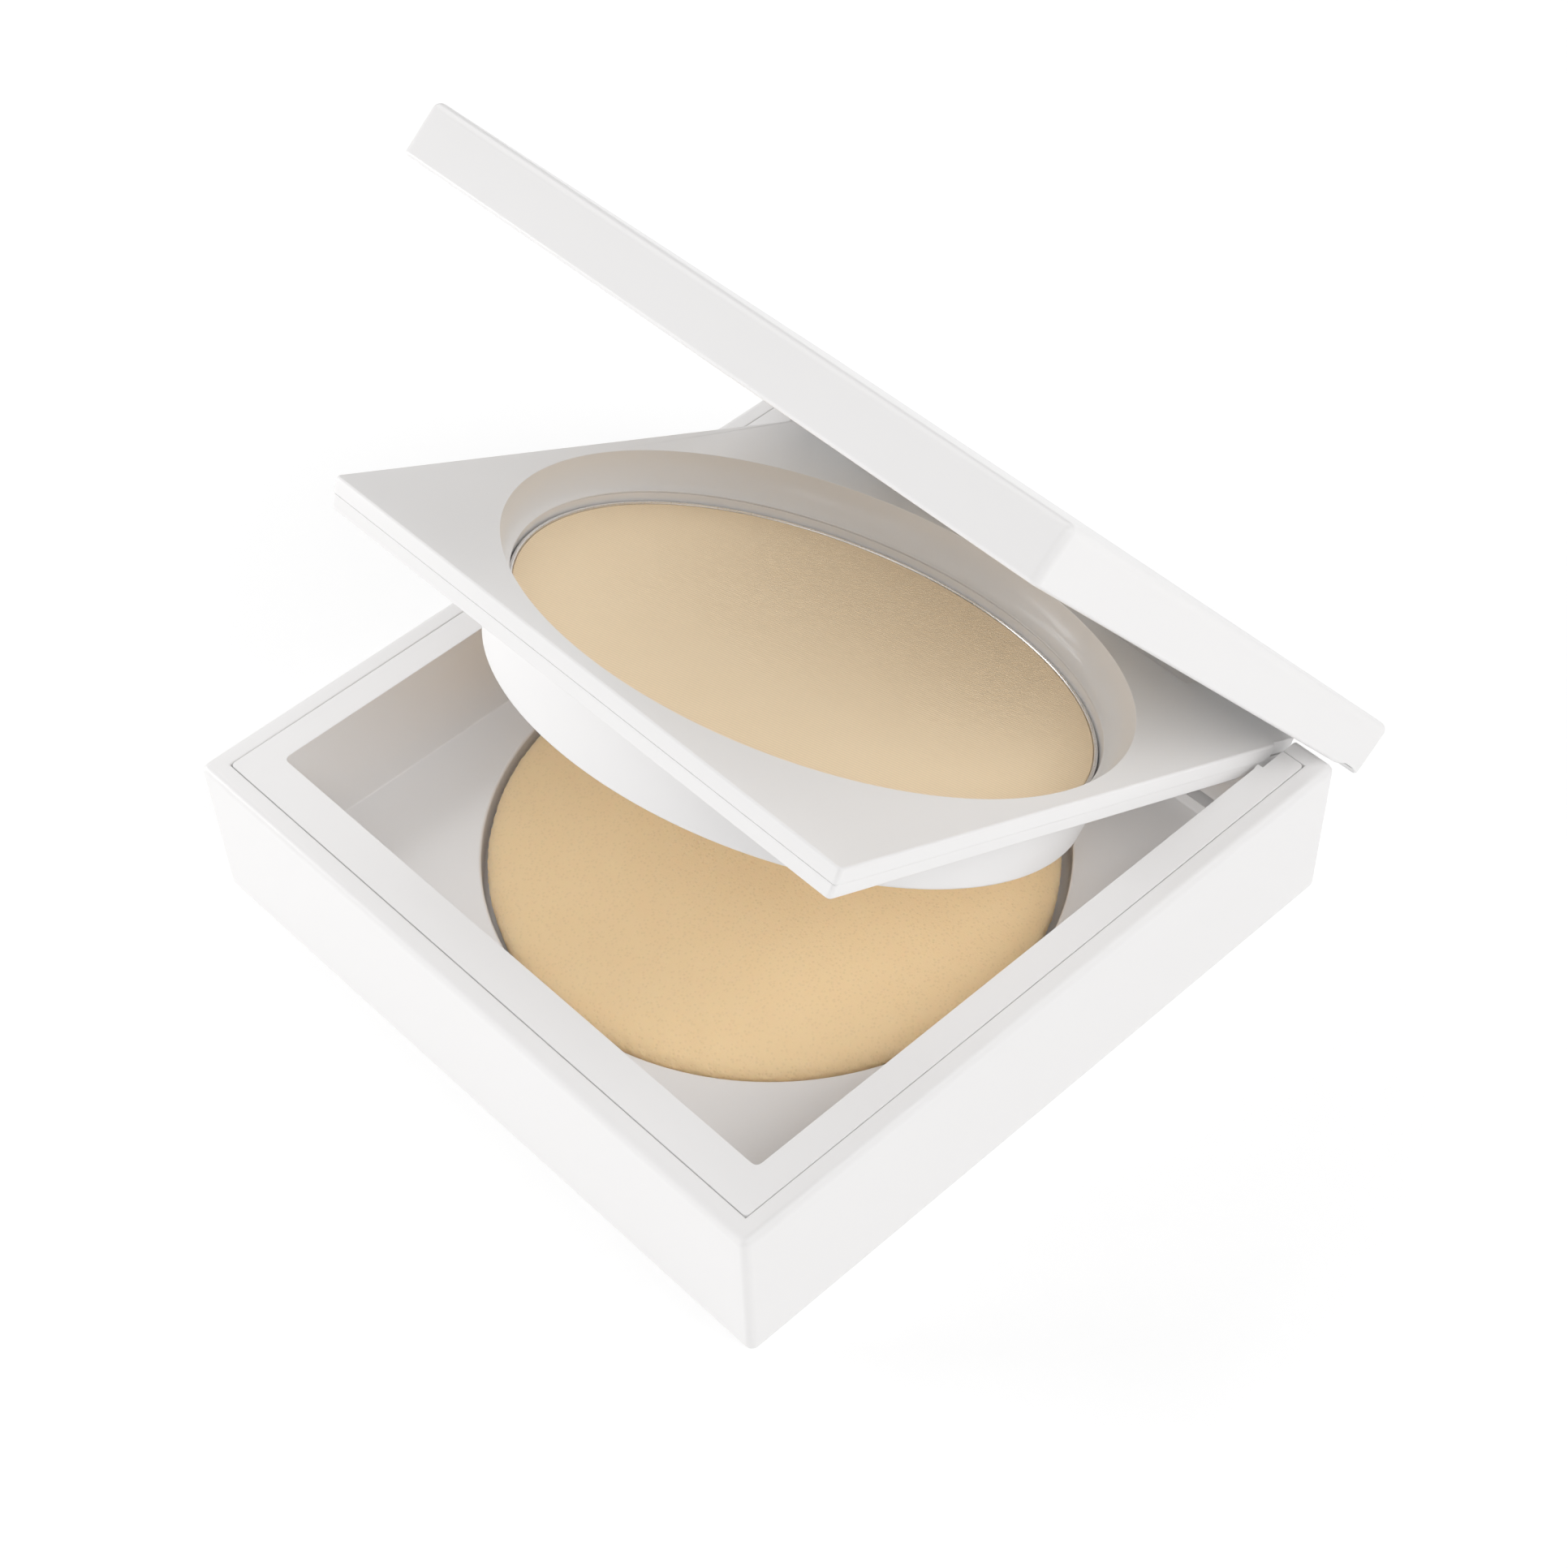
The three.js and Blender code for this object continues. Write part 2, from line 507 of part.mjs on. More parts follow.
// Inner frame: the plate that closes the lid from inside and carries the mirror in a shallow pocket.
function lidInnerFrame() {
  const inset = LID_WALL + SEAM;
  const plate = slab({ half: LID_HALF_X - inset, front: inset - LID_HALF_Y, back: LID_HALF_Y - inset,
    low: LID_LOW, high: LID_LOW + FRAME_HEIGHT, lowRound: 0.2 });
  const pocket = slab({ half: MIRROR_HALF + MIRROR_FIT, low: LID_LOW - THROUGH,
    high: LID_LOW + MIRROR_POCKET, corner: 0.7 });
  const arms = bothSides((side) => block(...span(side, LID_ARM_START - 0.3, LID_ARM_END + 0.3),
    HINGE_Y - 2.1, BASE_HALF, 0, LID_HIGH));
  const magnets = bothSides((side) => lidMagnetBox(side, POCKET_FIT));
  const relief = hingeRod(LID_RELIEF, -BASE_HALF - THROUGH, BASE_HALF + THROUGH);
  return cut(plate, pocket, arms, magnets, relief);
}

function lidMagnetBox(side, air) {
  const reach = MAGNET_LENGTH / 2 + air;
  const middle = RECESS_FRONT - LINER_WALL - SEAM - MAGNET_WIDTH / 2;
  const low = LID_LOW + 1.2;
  return block(side * MAGNET_X - reach, side * MAGNET_X + reach, middle - 1 - air, middle + 1 + air,
    low - air, low + MAGNET_WIDTH + 2 * air);
}

add(lid, 'lid_shell', lidShell(), 'white');
add(lid, 'lid_inner_frame', lidInnerFrame(), 'white');
const mirrorLow = LID_LOW + MIRROR_INSET;
const glueLow = mirrorLow + MIRROR_THICK + MIRROR_INSET;
add(lid, 'mirror', slab({ half: MIRROR_HALF, low: mirrorLow, high: mirrorLow + MIRROR_THICK }), 'mirror');
add(lid, 'mirror_adhesive', slab({ half: MIRROR_HALF - GLUE_INSET, low: glueLow,
  high: glueLow + GLUE_THICK }), 'glue');
add(lid, 'lid_magnet_left', lidMagnetBox(-1, 0), 'magnet');
add(lid, 'lid_magnet_right', lidMagnetBox(1, 0), 'magnet');

export default compact;
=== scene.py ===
# %% [markdown]
# # A square powder compact, standing open
#
# The compact is three square mouldings that share one hinge line. The base holds a round foam puff, the
# tray above it holds a pan of pressed powder, and the lid carries a mirror. This lesson builds each
# piece the way it is moulded, pressed or cut, in metres, where it sits when the compact is closed.
# The pieces of the tray and the lid are then turned open about the hinge line.
#
# First the plain engineering model is loaded. It fixes every size, and each new piece replaces one of
# its nodes.

# %% Load the plain model
import json
import math

import bmesh
import bpy
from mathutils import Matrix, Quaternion, Vector, noise


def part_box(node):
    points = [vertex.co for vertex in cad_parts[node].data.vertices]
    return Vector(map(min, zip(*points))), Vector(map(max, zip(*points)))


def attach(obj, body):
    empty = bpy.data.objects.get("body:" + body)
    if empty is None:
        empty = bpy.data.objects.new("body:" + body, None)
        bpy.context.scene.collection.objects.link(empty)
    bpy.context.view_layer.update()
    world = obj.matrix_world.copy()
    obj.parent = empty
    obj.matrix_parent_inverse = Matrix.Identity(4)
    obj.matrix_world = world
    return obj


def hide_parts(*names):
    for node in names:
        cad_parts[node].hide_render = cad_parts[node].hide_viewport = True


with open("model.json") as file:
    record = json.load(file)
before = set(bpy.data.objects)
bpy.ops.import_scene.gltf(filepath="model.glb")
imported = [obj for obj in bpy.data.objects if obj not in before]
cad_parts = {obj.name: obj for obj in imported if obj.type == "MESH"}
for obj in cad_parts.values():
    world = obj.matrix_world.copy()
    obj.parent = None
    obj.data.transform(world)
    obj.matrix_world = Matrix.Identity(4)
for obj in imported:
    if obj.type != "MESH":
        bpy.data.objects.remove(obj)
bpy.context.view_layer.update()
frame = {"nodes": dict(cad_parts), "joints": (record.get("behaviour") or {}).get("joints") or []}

# %% [markdown]
# ## Sizes
#
# A mould maker works from a short list of sizes. They are given in millimetres and turned into metres
# once, here. Every level is measured with the compact closed. The hinge line's place is read from the
# model's first joint, because both leaves turn on it.

# %% Driving sizes
MM = 0.001
TINY = 0.001 * MM
HINGE = Vector(frame["joints"][0]["pos_m"])
WELL_Y = 1.2 * MM                  # the round parts sit a little behind the middle

BASE_HALF = 40 * MM
BASE_HEIGHT = 18.5 * MM
SHELL_WALL = 2.2 * MM
SHELL_FLOOR = 1.2 * MM
SHELL_LEDGE = 16.9 * MM
LEDGE_STEP = 1.2 * MM
SEAM = 0.2 * MM                    # air between mouldings where it can't be seen
HAIR = 0.07 * MM                   # the parting lines that show

RECESS_HALF = 34.5 * MM
RECESS_FRONT = -33.4 * MM
RECESS_FLOOR = 5.9 * MM
LINER_WALL = 1.3 * MM
WELL_RADIUS = 30.3 * MM
WELL_FLOOR = 2.4 * MM

PIN_RADIUS = 0.75 * MM
PIN_FIT = 0.1 * MM
BARREL = 2.6 * MM                  # radius of every hinge knuckle
BAY_HALF = 35 * MM
BAY_FRONT = 34.7 * MM
BAY_FLOOR = 7.4 * MM
BAY_SILL = 6.2 * MM
KNUCKLE_END = 7.6 * MM
LID_ARM = (8 * MM, 22 * MM)        # where the hinge arms start and end along X
TRAY_ARM = (22.4 * MM, 33.8 * MM)

TRAY_HALF = 34.15 * MM
TRAY_FRONT = -33.1 * MM
TRAY_BACK = 34.2 * MM
TRAY_SKIN = 1.6 * MM
TRAY_LOW = BASE_HEIGHT - 3.45 * MM
MOUTH_RADIUS = 32.3 * MM
LIP_RADIUS = 30.35 * MM
LIP_DEPTH = 3.7 * MM
LIP_LOW = BASE_HEIGHT - LIP_DEPTH
COLLAR_RADIUS = 32.8 * MM
COLLAR_LOW_RADIUS = 31.2 * MM
BOWL_LOW = BASE_HEIGHT - 11 * MM
BOWL_FLOOR = BOWL_LOW + 1.2 * MM
BOWL_BORE = 30.4 * MM

PAN_RADIUS = 30.2 * MM
PAN_HIGH = BASE_HEIGHT - 4.75 * MM
PAN_LOW = PAN_HIGH - 4.6 * MM
PAN_WALL = 0.4 * MM

LID_HALF = 39.7 * MM
LID_LOW = BASE_HEIGHT + 0.2 * MM
LID_HIGH = LID_LOW + 5.8 * MM
LID_WALL = 2.1 * MM
LID_ROOF = 1.4 * MM
MIRROR_HALF = 33 * MM
RELIEF = 8 * MM                    # the lid is hollowed by this radius about the hinge line

CORNER = 0.5 * MM                  # upright corners of the flat mouldings
FOOT_ROUND = 0.5 * MM              # where a round wall meets its floor
CLOSURE_X = 20.8                   # mm from the middle to a magnet's or a striker's pocket
CLOSURE_LENGTH = 8.4               # mm

OPEN = {"base": 0, "tray": math.radians(27.5), "lid": math.radians(51.2)}
print("hinge line at y %.1f z %.1f mm" % (HINGE.y / MM, HINGE.z / MM))

# %% [markdown]
# ## Where the viewer stands
#
# The camera looks down at the compact from the right of its front corner, with a long lens, as a product
# photographer would. It is set first so that every trial picture can be compared with the real thing.
# The direction is given by two angles round an aimed point, and a small roll is added at the end.

# %% Camera
AIM = Vector((-4.45, 6.55, 6.8)) * MM
AZIMUTH = math.radians(48.23)      # from the front, towards the right
ELEVATION = math.radians(48.55)
DISTANCE = 324.65 * MM
ROLL = math.radians(-2.35)
SENSOR_WIDTH = 36                  # the camera counts its sensor and lens in mm
LENS = 71.85
NEAREST = 10 * MM

away = Vector((math.sin(AZIMUTH) * math.cos(ELEVATION), -math.cos(AZIMUTH) * math.cos(ELEVATION),
               math.sin(ELEVATION)))
bpy.ops.object.camera_add(location=AIM + away * DISTANCE)
camera = bpy.context.object
camera.name = "camera"
camera.rotation_mode = "QUATERNION"
camera.rotation_quaternion = (-away).to_track_quat("-Z", "Y") @ Quaternion((0, 0, 1), ROLL)
camera.data.sensor_width = SENSOR_WIDTH
camera.data.lens = LENS
camera.data.clip_start = NEAREST
bpy.context.scene.camera = camera
print("camera at", tuple(round(value / MM, 1) for value in camera.location), "mm")

# %% [markdown]
# ## Modelling tools
#
# A few small helpers stand for the moves of a modeller's hand: put down a primitive at its size, open it
# in edit mode with some of its parts selected, round some edges, draw a chain of points, turn a profile
# on a lathe. Everything is deselected before each move, because an operator acts on all that is
# selected.

# %% Primitives at their size
def clear():
    """Closes edit mode and leaves nothing selected."""
    if bpy.context.object and bpy.context.object.mode != "OBJECT":
        bpy.ops.object.mode_set(mode="OBJECT")
    bpy.ops.object.select_all(action="DESELECT")


def take(piece):
    """Makes one piece the only selected one."""
    clear()
    piece.select_set(True)
    bpy.context.view_layer.objects.active = piece


def settle(name):
    """Names the new primitive and puts its place and size into its mesh."""
    piece = bpy.context.object
    piece.name = name
    piece.data.name = name
    bpy.ops.object.transform_apply(location=True, rotation=True, scale=True)
    return piece


def block(name, low, high):
    clear()
    low, high = Vector(low), Vector(high)
    bpy.ops.mesh.primitive_cube_add(size=1, location=(low + high) / 2, scale=high - low)
    return settle(name)


def hinge_rod(name, radius, start, end, steps=64):
    """A round bar on the hinge line, from start to end along X."""
    clear()
    bpy.ops.mesh.primitive_cylinder_add(
        vertices=steps, radius=radius, depth=end - start,
        location=((start + end) / 2, HINGE.y, HINGE.z), rotation=(0, math.pi / 2, 0))
    return settle(name)


# %% Selecting and rounding
def choose(piece, kind, test):
    """Opens a piece in edit mode with only the vertices, edges or faces selected that pass the test."""
    take(piece)
    bpy.ops.object.mode_set(mode="EDIT")
    bpy.ops.mesh.select_mode(type=kind)
    bpy.ops.mesh.select_all(action="DESELECT")
    mesh = bmesh.from_edit_mesh(piece.data)
    parts = {"VERT": mesh.verts, "EDGE": mesh.edges, "FACE": mesh.faces}[kind]
    for part in parts:
        if test(part):
            part.select_set(True)
    bmesh.update_edit_mesh(piece.data)


def middle(part):
    return sum((vertex.co for vertex in part.verts), Vector()) / len(part.verts)


def upright(edge):
    run = edge.verts[0].co - edge.verts[1].co
    return abs(run.x) < TINY and abs(run.y) < TINY


def round_edges(piece, test, radius, segments=4):
    """Rolls the chosen edges over to a radius."""
    choose(piece, "EDGE", test)
    bpy.ops.mesh.bevel(offset=radius, segments=segments, affect="EDGES", clamp_overlap=True)
    clear()


def slab(name, low, high, corner, top=0, bottom=0):
    """A flat block with rounded upright corners, and its top and bottom edges rolled over."""
    piece = block(name, low, high)
    round_edges(piece, upright, corner)
    if top:
        round_edges(piece, lambda edge: abs(middle(edge).z - high[2]) < TINY, top)
    if bottom:
        round_edges(piece, lambda edge: abs(middle(edge).z - low[2]) < TINY, bottom)
    return piece


# %% Chains of points, turned and drawn out
def arc(centre, radius, start, end, steps):
    """Points on an arc, as pairs. Angles are in degrees."""
    turns = [math.radians(start + (end - start) * step / steps) for step in range(steps + 1)]
    return [(centre[0] + radius * math.cos(turn), centre[1] + radius * math.sin(turn)) for turn in turns]


def chain(name, points):
    """A chain of edges: one point, extruded to each next place. It is left in edit mode."""
    clear()
    points = [Vector(point) for point in points]
    bpy.ops.mesh.primitive_plane_add(size=MM, location=points[0])
    piece = settle(name)
    bpy.ops.object.mode_set(mode="EDIT")
    bpy.ops.mesh.select_mode(type="VERT")
    bpy.ops.mesh.select_all(action="SELECT")
    bpy.ops.mesh.merge(type="CENTER")
    for start, end in zip(points, points[1:]):
        bpy.ops.mesh.extrude_vertices_move(TRANSFORM_OT_translate={"value": end - start})
    return piece


def face_out():
    """In edit mode: joins doubled points, then turns every face outwards."""
    bpy.ops.mesh.select_all(action="SELECT")
    bpy.ops.mesh.remove_doubles(threshold=TINY)
    bpy.ops.mesh.normals_make_consistent(inside=False)
    bpy.ops.object.mode_set(mode="OBJECT")


def lathe(name, profile, steps=160, at=(0, WELL_Y)):
    """Turns a profile of (radius, height) pairs about an upright axis."""
    piece = chain(name, [(at[0] + radius, at[1], height) for radius, height in profile])
    bpy.ops.mesh.select_all(action="SELECT")
    bpy.ops.mesh.spin(steps=steps, angle=2 * math.pi, center=(*at, 0), axis=(0, 0, 1))
    face_out()
    return piece


def drawn(name, outline, start, end):
    """Draws an outline of (y, z) pairs out along X."""
    piece = chain(name, [(start, y, z) for y, z in outline])
    bpy.ops.mesh.select_all(action="SELECT")
    bpy.ops.mesh.edge_face_add()
    bpy.ops.mesh.extrude_region_move(TRANSFORM_OT_translate={"value": (end - start, 0, 0)})
    face_out()
    return piece


# %% Joining, cutting and copying
def work(piece, tool, how):
    """Joins or cuts a piece with another mesh, which is then thrown away."""
    take(piece)
    modifier = piece.modifiers.new("work", "BOOLEAN")
    modifier.operation = how
    modifier.solver = "EXACT"
    modifier.object = tool
    bpy.ops.object.modifier_apply(modifier=modifier.name)
    bpy.data.meshes.remove(tool.data)


def join(piece, *tools):
    for tool in tools:
        work(piece, tool, "UNION")


def cut(piece, *tools):
    for tool in tools:
        work(piece, tool, "DIFFERENCE")


def mirrored(piece):
    """A copy on the other side of the middle, with its own mesh."""
    take(piece)
    bpy.ops.object.duplicate(linked=False)
    copy = bpy.context.object
    bpy.ops.transform.mirror(constraint_axis=(True, False, False), center_override=(0, 0, 0))
    bpy.ops.object.transform_apply(location=True, rotation=True, scale=True)
    bpy.ops.object.mode_set(mode="EDIT")
    face_out()
    return copy


# %% [markdown]
# ## Finishing a piece
#
# No moulded edge is perfectly sharp. The last modifiers break every remaining sharp edge by about a
# tenth of a millimetre, and weight the shading towards the large faces so that flats stay flat.
# The leaf's pieces are then swung open, given their material, and tied to the body that they move with.
# The printed gap compares the new piece's box with the node that it stands for.

# %% The finishing steps
WELD = 0.004 * MM                  # points closer than this are one point
FLAT = math.radians(0.4)           # faces that meet at less than this are one face
SHARP = math.radians(40)           # edges sharper than this are broken
CREASE = math.radians(36)          # edges sharper than this are shaded as edges
FACE_WEIGHT = 80                   # how far large faces set the shading of their corners


def tidy(piece):
    """Joins points that lie together and rubs out edges that cross a flat face."""
    choose(piece, "VERT", lambda vertex: True)
    bpy.ops.mesh.remove_doubles(threshold=WELD)
    bpy.ops.mesh.dissolve_limited(angle_limit=FLAT)
    bpy.ops.mesh.select_all(action="SELECT")
    face_out()


def soften(piece, radius):
    tidy(piece)
    take(piece)
    bevel = piece.modifiers.new("soften", "BEVEL")
    bevel.width = radius
    bevel.segments = 2
    bevel.use_clamp_overlap = False
    bevel.limit_method = "ANGLE"
    bevel.angle_limit = SHARP
    bpy.ops.object.modifier_apply(modifier=bevel.name)
    bpy.ops.object.mode_set(mode="EDIT")
    face_out()


def flat_shade(piece):
    take(piece)
    bpy.ops.object.shade_smooth_by_angle(angle=CREASE)
    weights = piece.modifiers.new("weights", "WEIGHTED_NORMAL")
    weights.keep_sharp = True
    weights.weight = FACE_WEIGHT
    bpy.ops.object.modifier_apply(modifier=weights.name)


def swing(piece, body):
    take(piece)
    bpy.ops.transform.rotate(value=OPEN[body], orient_axis="X", center_override=HINGE)
    bpy.ops.object.transform_apply(location=True, rotation=True, scale=True)


def hand_over(piece, body, slot, material, *nodes):
    """Gives a finished piece its finish and its body, hides the nodes that it stands for and prints its
    gap.
    """
    piece.data.materials.clear()
    piece.data.materials.append(material)
    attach(piece, body)
    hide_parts(*nodes)
    low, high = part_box(nodes[0])
    corners = [vertex.co for vertex in piece.data.vertices]
    gaps = [max(abs(min(corner[axis] for corner in corners) - low[axis]),
                abs(max(corner[axis] for corner in corners) - high[axis])) for axis in range(3)]
    print(f"{piece.name}: {len(piece.data.polygons)} faces, box within {max(gaps) / MM:.2f} mm")


def finish(piece, body, slot, material, *nodes, edge=0.12 * MM):
    soften(piece, edge)
    if body != "base":
        swing(piece, body)
    flat_shade(piece)
    hand_over(piece, body, slot, material, *nodes)


# %% [markdown]
# ## Materials
#
# Each finish is a small node network on object coordinates, so its pattern keeps its real scale and
# moves with the piece. A helper lays down the shader and another lays a bump made of noise, because
# every real surface has some grain. Values that are the same all over sit on the shader's own sockets.

# %% Material helpers
def new_finish(name, **sockets):
    """A material whose shader sockets are set by name, with underscores for spaces."""
    material = bpy.data.materials.new(name)
    material.use_nodes = True
    shader = material.node_tree.nodes["Principled BSDF"]
    for socket, value in sockets.items():
        shader.inputs[socket.replace("_", " ")].default_value = value
    return material, material.node_tree.nodes, material.node_tree.links, shader


def placed(nodes, links, turn=(0, 0, 0), size=(1, 1, 1)):
    """The piece's own coordinates, turned and stretched for a pattern."""
    place = nodes.new("ShaderNodeTexCoord")
    mapping = nodes.new("ShaderNodeMapping")
    mapping.inputs["Rotation"].default_value = turn
    mapping.inputs["Scale"].default_value = size
    links.new(place.outputs["Object"], mapping.inputs["Vector"])
    return mapping.outputs["Vector"]


def grain(nodes, links, vector, size, detail=2.0, roughness=0.5):
    """Noise whose lumps are about size metres across."""
    lumps = nodes.new("ShaderNodeTexNoise")
    lumps.inputs["Scale"].default_value = 1 / size
    lumps.inputs["Detail"].default_value = detail
    lumps.inputs["Roughness"].default_value = roughness
    links.new(vector, lumps.inputs["Vector"])
    return lumps.outputs["Fac"]


def between(nodes, links, value, low, high, start=0.0, end=1.0):
    """Spreads a pattern's values over a new range."""
    spread = nodes.new("ShaderNodeMapRange")
    spread.inputs["From Min"].default_value = start
    spread.inputs["From Max"].default_value = end
    spread.inputs["To Min"].default_value = low
    spread.inputs["To Max"].default_value = high
    links.new(value, spread.inputs["Value"])
    return spread.outputs["Result"]


def tint(nodes, links, value, dark, light):
    """Mixes two colours by a pattern."""
    mix = nodes.new("ShaderNodeMix")
    mix.data_type = "RGBA"
    mix.inputs["A"].default_value = (*dark, 1)
    mix.inputs["B"].default_value = (*light, 1)
    links.new(value, mix.inputs["Factor"])
    return mix.outputs["Result"]


def relief(nodes, links, value, depth, strength=1.0, onto=None):
    """A bump of the given depth in metres, laid over an earlier one if there is one."""
    bump = nodes.new("ShaderNodeBump")
    bump.inputs["Distance"].default_value = depth
    bump.inputs["Strength"].default_value = strength
    links.new(value, bump.inputs["Height"])
    if onto:
        links.new(onto, bump.inputs["Normal"])
    return bump.outputs["Normal"]


# %% [markdown]
# ### White moulded plastic
#
# The casings are white, smooth and softly glossy. Injection-moulded plastic is never a mirror: it has a
# very fine polish grain from the mould, a faint long waviness where the wall shrinks, and a gloss that
# drifts a little across the part. Noise at three sizes gives these.

# %% White plastic
def white_plastic():
    material, nodes, links, shader = new_finish(
        "white_plastic", Specular_IOR_Level=0.5, IOR=1.49, Coat_Weight=0.15, Coat_Roughness=0.12)
    place = placed(nodes, links)
    drift = grain(nodes, links, place, 14 * MM)
    polish = grain(nodes, links, place, 0.25 * MM, detail=3)
    wave = grain(nodes, links, place, 9 * MM, detail=0)
    links.new(tint(nodes, links, drift, (0.800, 0.788, 0.783), (0.820, 0.808, 0.803)),
              shader.inputs["Base Color"])
    links.new(between(nodes, links, drift, 0.26, 0.36), shader.inputs["Roughness"])
    fine = relief(nodes, links, polish, 0.0015 * MM)
    links.new(relief(nodes, links, wave, 0.02 * MM, onto=fine), shader.inputs["Normal"])
    return material


PLASTIC = white_plastic()
print("plastic:", len(PLASTIC.node_tree.nodes), "nodes")

# %% [markdown]
# ### Metals, glue and mirror
#
# The pan is drawn aluminium, whose fine rings follow the drawing. The pins and the closure strikers are
# drawn steel, the magnets are nickel plated, the mirror is silvered glass, and the double-sided
# adhesive is a dull milky film.

# %% Metals
def metal(name, dark, light, rough, streaks):
    """Metal whose scratches are noise stretched by the streaks."""
    material, nodes, links, shader = new_finish(name, Metallic=1.0)
    place = placed(nodes, links, size=streaks)
    lines = grain(nodes, links, place, 0.3 * MM, detail=4)
    cloud = grain(nodes, links, placed(nodes, links), 5 * MM)
    links.new(tint(nodes, links, cloud, dark, light), shader.inputs["Base Color"])
    links.new(between(nodes, links, lines, rough * 0.8, rough * 1.25), shader.inputs["Roughness"])
    links.new(relief(nodes, links, lines, 0.002 * MM), shader.inputs["Normal"])
    return material


STEEL = metal("steel", (0.50, 0.51, 0.53), (0.60, 0.61, 0.63), 0.3, (0.05, 1, 1))
MAGNET = metal("magnet", (0.38, 0.39, 0.41), (0.46, 0.47, 0.49), 0.35, (1, 1, 1))
ALUMINIUM = metal("pan_aluminium", (0.88, 0.88, 0.89), (0.94, 0.94, 0.95), 0.28, (1, 1, 8))
GLASS = metal("mirror_glass", (0.90, 0.92, 0.93), (0.92, 0.94, 0.95), 0.02, (1, 1, 1))


# %% Adhesive film
def adhesive_film():
    material, nodes, links, shader = new_finish("adhesive", Specular_IOR_Level=0.3)
    place = placed(nodes, links)
    bubbles = grain(nodes, links, place, 0.8 * MM, detail=3)
    links.new(tint(nodes, links, bubbles, (0.80, 0.78, 0.70), (0.88, 0.86, 0.79)),
              shader.inputs["Base Color"])
    links.new(between(nodes, links, bubbles, 0.6, 0.8), shader.inputs["Roughness"])
    links.new(relief(nodes, links, bubbles, 0.02 * MM), shader.inputs["Normal"])
    return material


ADHESIVE = adhesive_film()

# %% [markdown]
# ### Pressed powder
#
# The cake is pressed through a cloth, which leaves a fine twill: slanting ribs not half a millimetre
# apart, broken into short dashes where the threads cross. Two wave textures at an angle make it, as a
# bump and as painted shade in the colour, darker in the grooves and a little lighter on the ribs. The
# pattern lies in the tray's plane, so the mapping turns it back by the tray's opening angle first.

# %% Powder finish
TWILL_PITCH = 0.444 * MM
TWILL_ANGLE = math.radians(27.5)   # the ribs' slant across the tray
WAVE_UNIT = 20 / (2 * math.pi)     # a wave texture repeats 20 / 2 pi times for each unit of its scale


def ribs(nodes, links, vector, pitch, bend):
    wave = nodes.new("ShaderNodeTexWave")
    wave.bands_direction = "Y"
    wave.inputs["Scale"].default_value = 1 / (pitch * WAVE_UNIT)
    wave.inputs["Distortion"].default_value = bend
    wave.inputs["Detail Scale"].default_value = 0.4
    links.new(vector, wave.inputs["Vector"])
    return wave.outputs["Fac"]


def product(nodes, links, first, second):
    multiply = nodes.new("ShaderNodeMath")
    multiply.operation = "MULTIPLY"
    links.new(first, multiply.inputs[0])
    links.new(second, multiply.inputs[1])
    return multiply.outputs["Value"]


def pressed_powder():
    material, nodes, links, shader = new_finish(
        "pressed_powder", Roughness=0.95, Specular_IOR_Level=0.4, Sheen_Weight=0.9, Sheen_Roughness=0.5,
        Sheen_Tint=(1.0, 0.82, 0.60, 1))
    flat = placed(nodes, links, turn=(OPEN["tray"], 0, 0))
    turned = nodes.new("ShaderNodeMapping")
    turned.inputs["Rotation"].default_value = (0, 0, -TWILL_ANGLE)
    links.new(flat, turned.inputs["Vector"])
    crossed = nodes.new("ShaderNodeMapping")
    crossed.inputs["Rotation"].default_value = (0, 0, TWILL_ANGLE * 2)
    links.new(flat, crossed.inputs["Vector"])
    twill = product(nodes, links, ribs(nodes, links, turned.outputs["Vector"], TWILL_PITCH, 0.6),
                    between(nodes, links, ribs(nodes, links, crossed.outputs["Vector"],
                                               TWILL_PITCH * 1.4, 0.8), 0.85, 1))
    cloud = grain(nodes, links, flat, 7 * MM, detail=3)
    crumbs = grain(nodes, links, flat, 0.12 * MM, detail=2)
    body = tint(nodes, links, cloud, (0.955, 0.70, 0.405), (0.985, 0.73, 0.435))
    # painted shade: the twill darkens the colour in its grooves and lifts it a little on its ribs
    painted_relief_shade = between(nodes, links, twill, 0.90, 1.04)
    mix = nodes.new("ShaderNodeVectorMath")
    mix.operation = "SCALE"
    links.new(body, mix.inputs[0])
    links.new(painted_relief_shade, mix.inputs["Scale"])
    links.new(mix.outputs["Vector"], shader.inputs["Base Color"])
    cloth = relief(nodes, links, twill, 0.03 * MM)
    links.new(relief(nodes, links, crumbs, 0.01 * MM, onto=cloth), shader.inputs["Normal"])
    return material


POWDER = pressed_powder()

# %% [markdown]
# ### Latex foam
#
# A cosmetic sponge is fine-pored latex foam. Its skin is matt, with tiny round pores, a soft mottling
# from the pour, and a slightly paler bloom on top. Voronoi cells make the pores, which also darken the
# colour as painted shade, and noise makes the mottling and a fine fuzz; the bloom is left out.

# %% Foam finish
PORE = 0.42 * MM


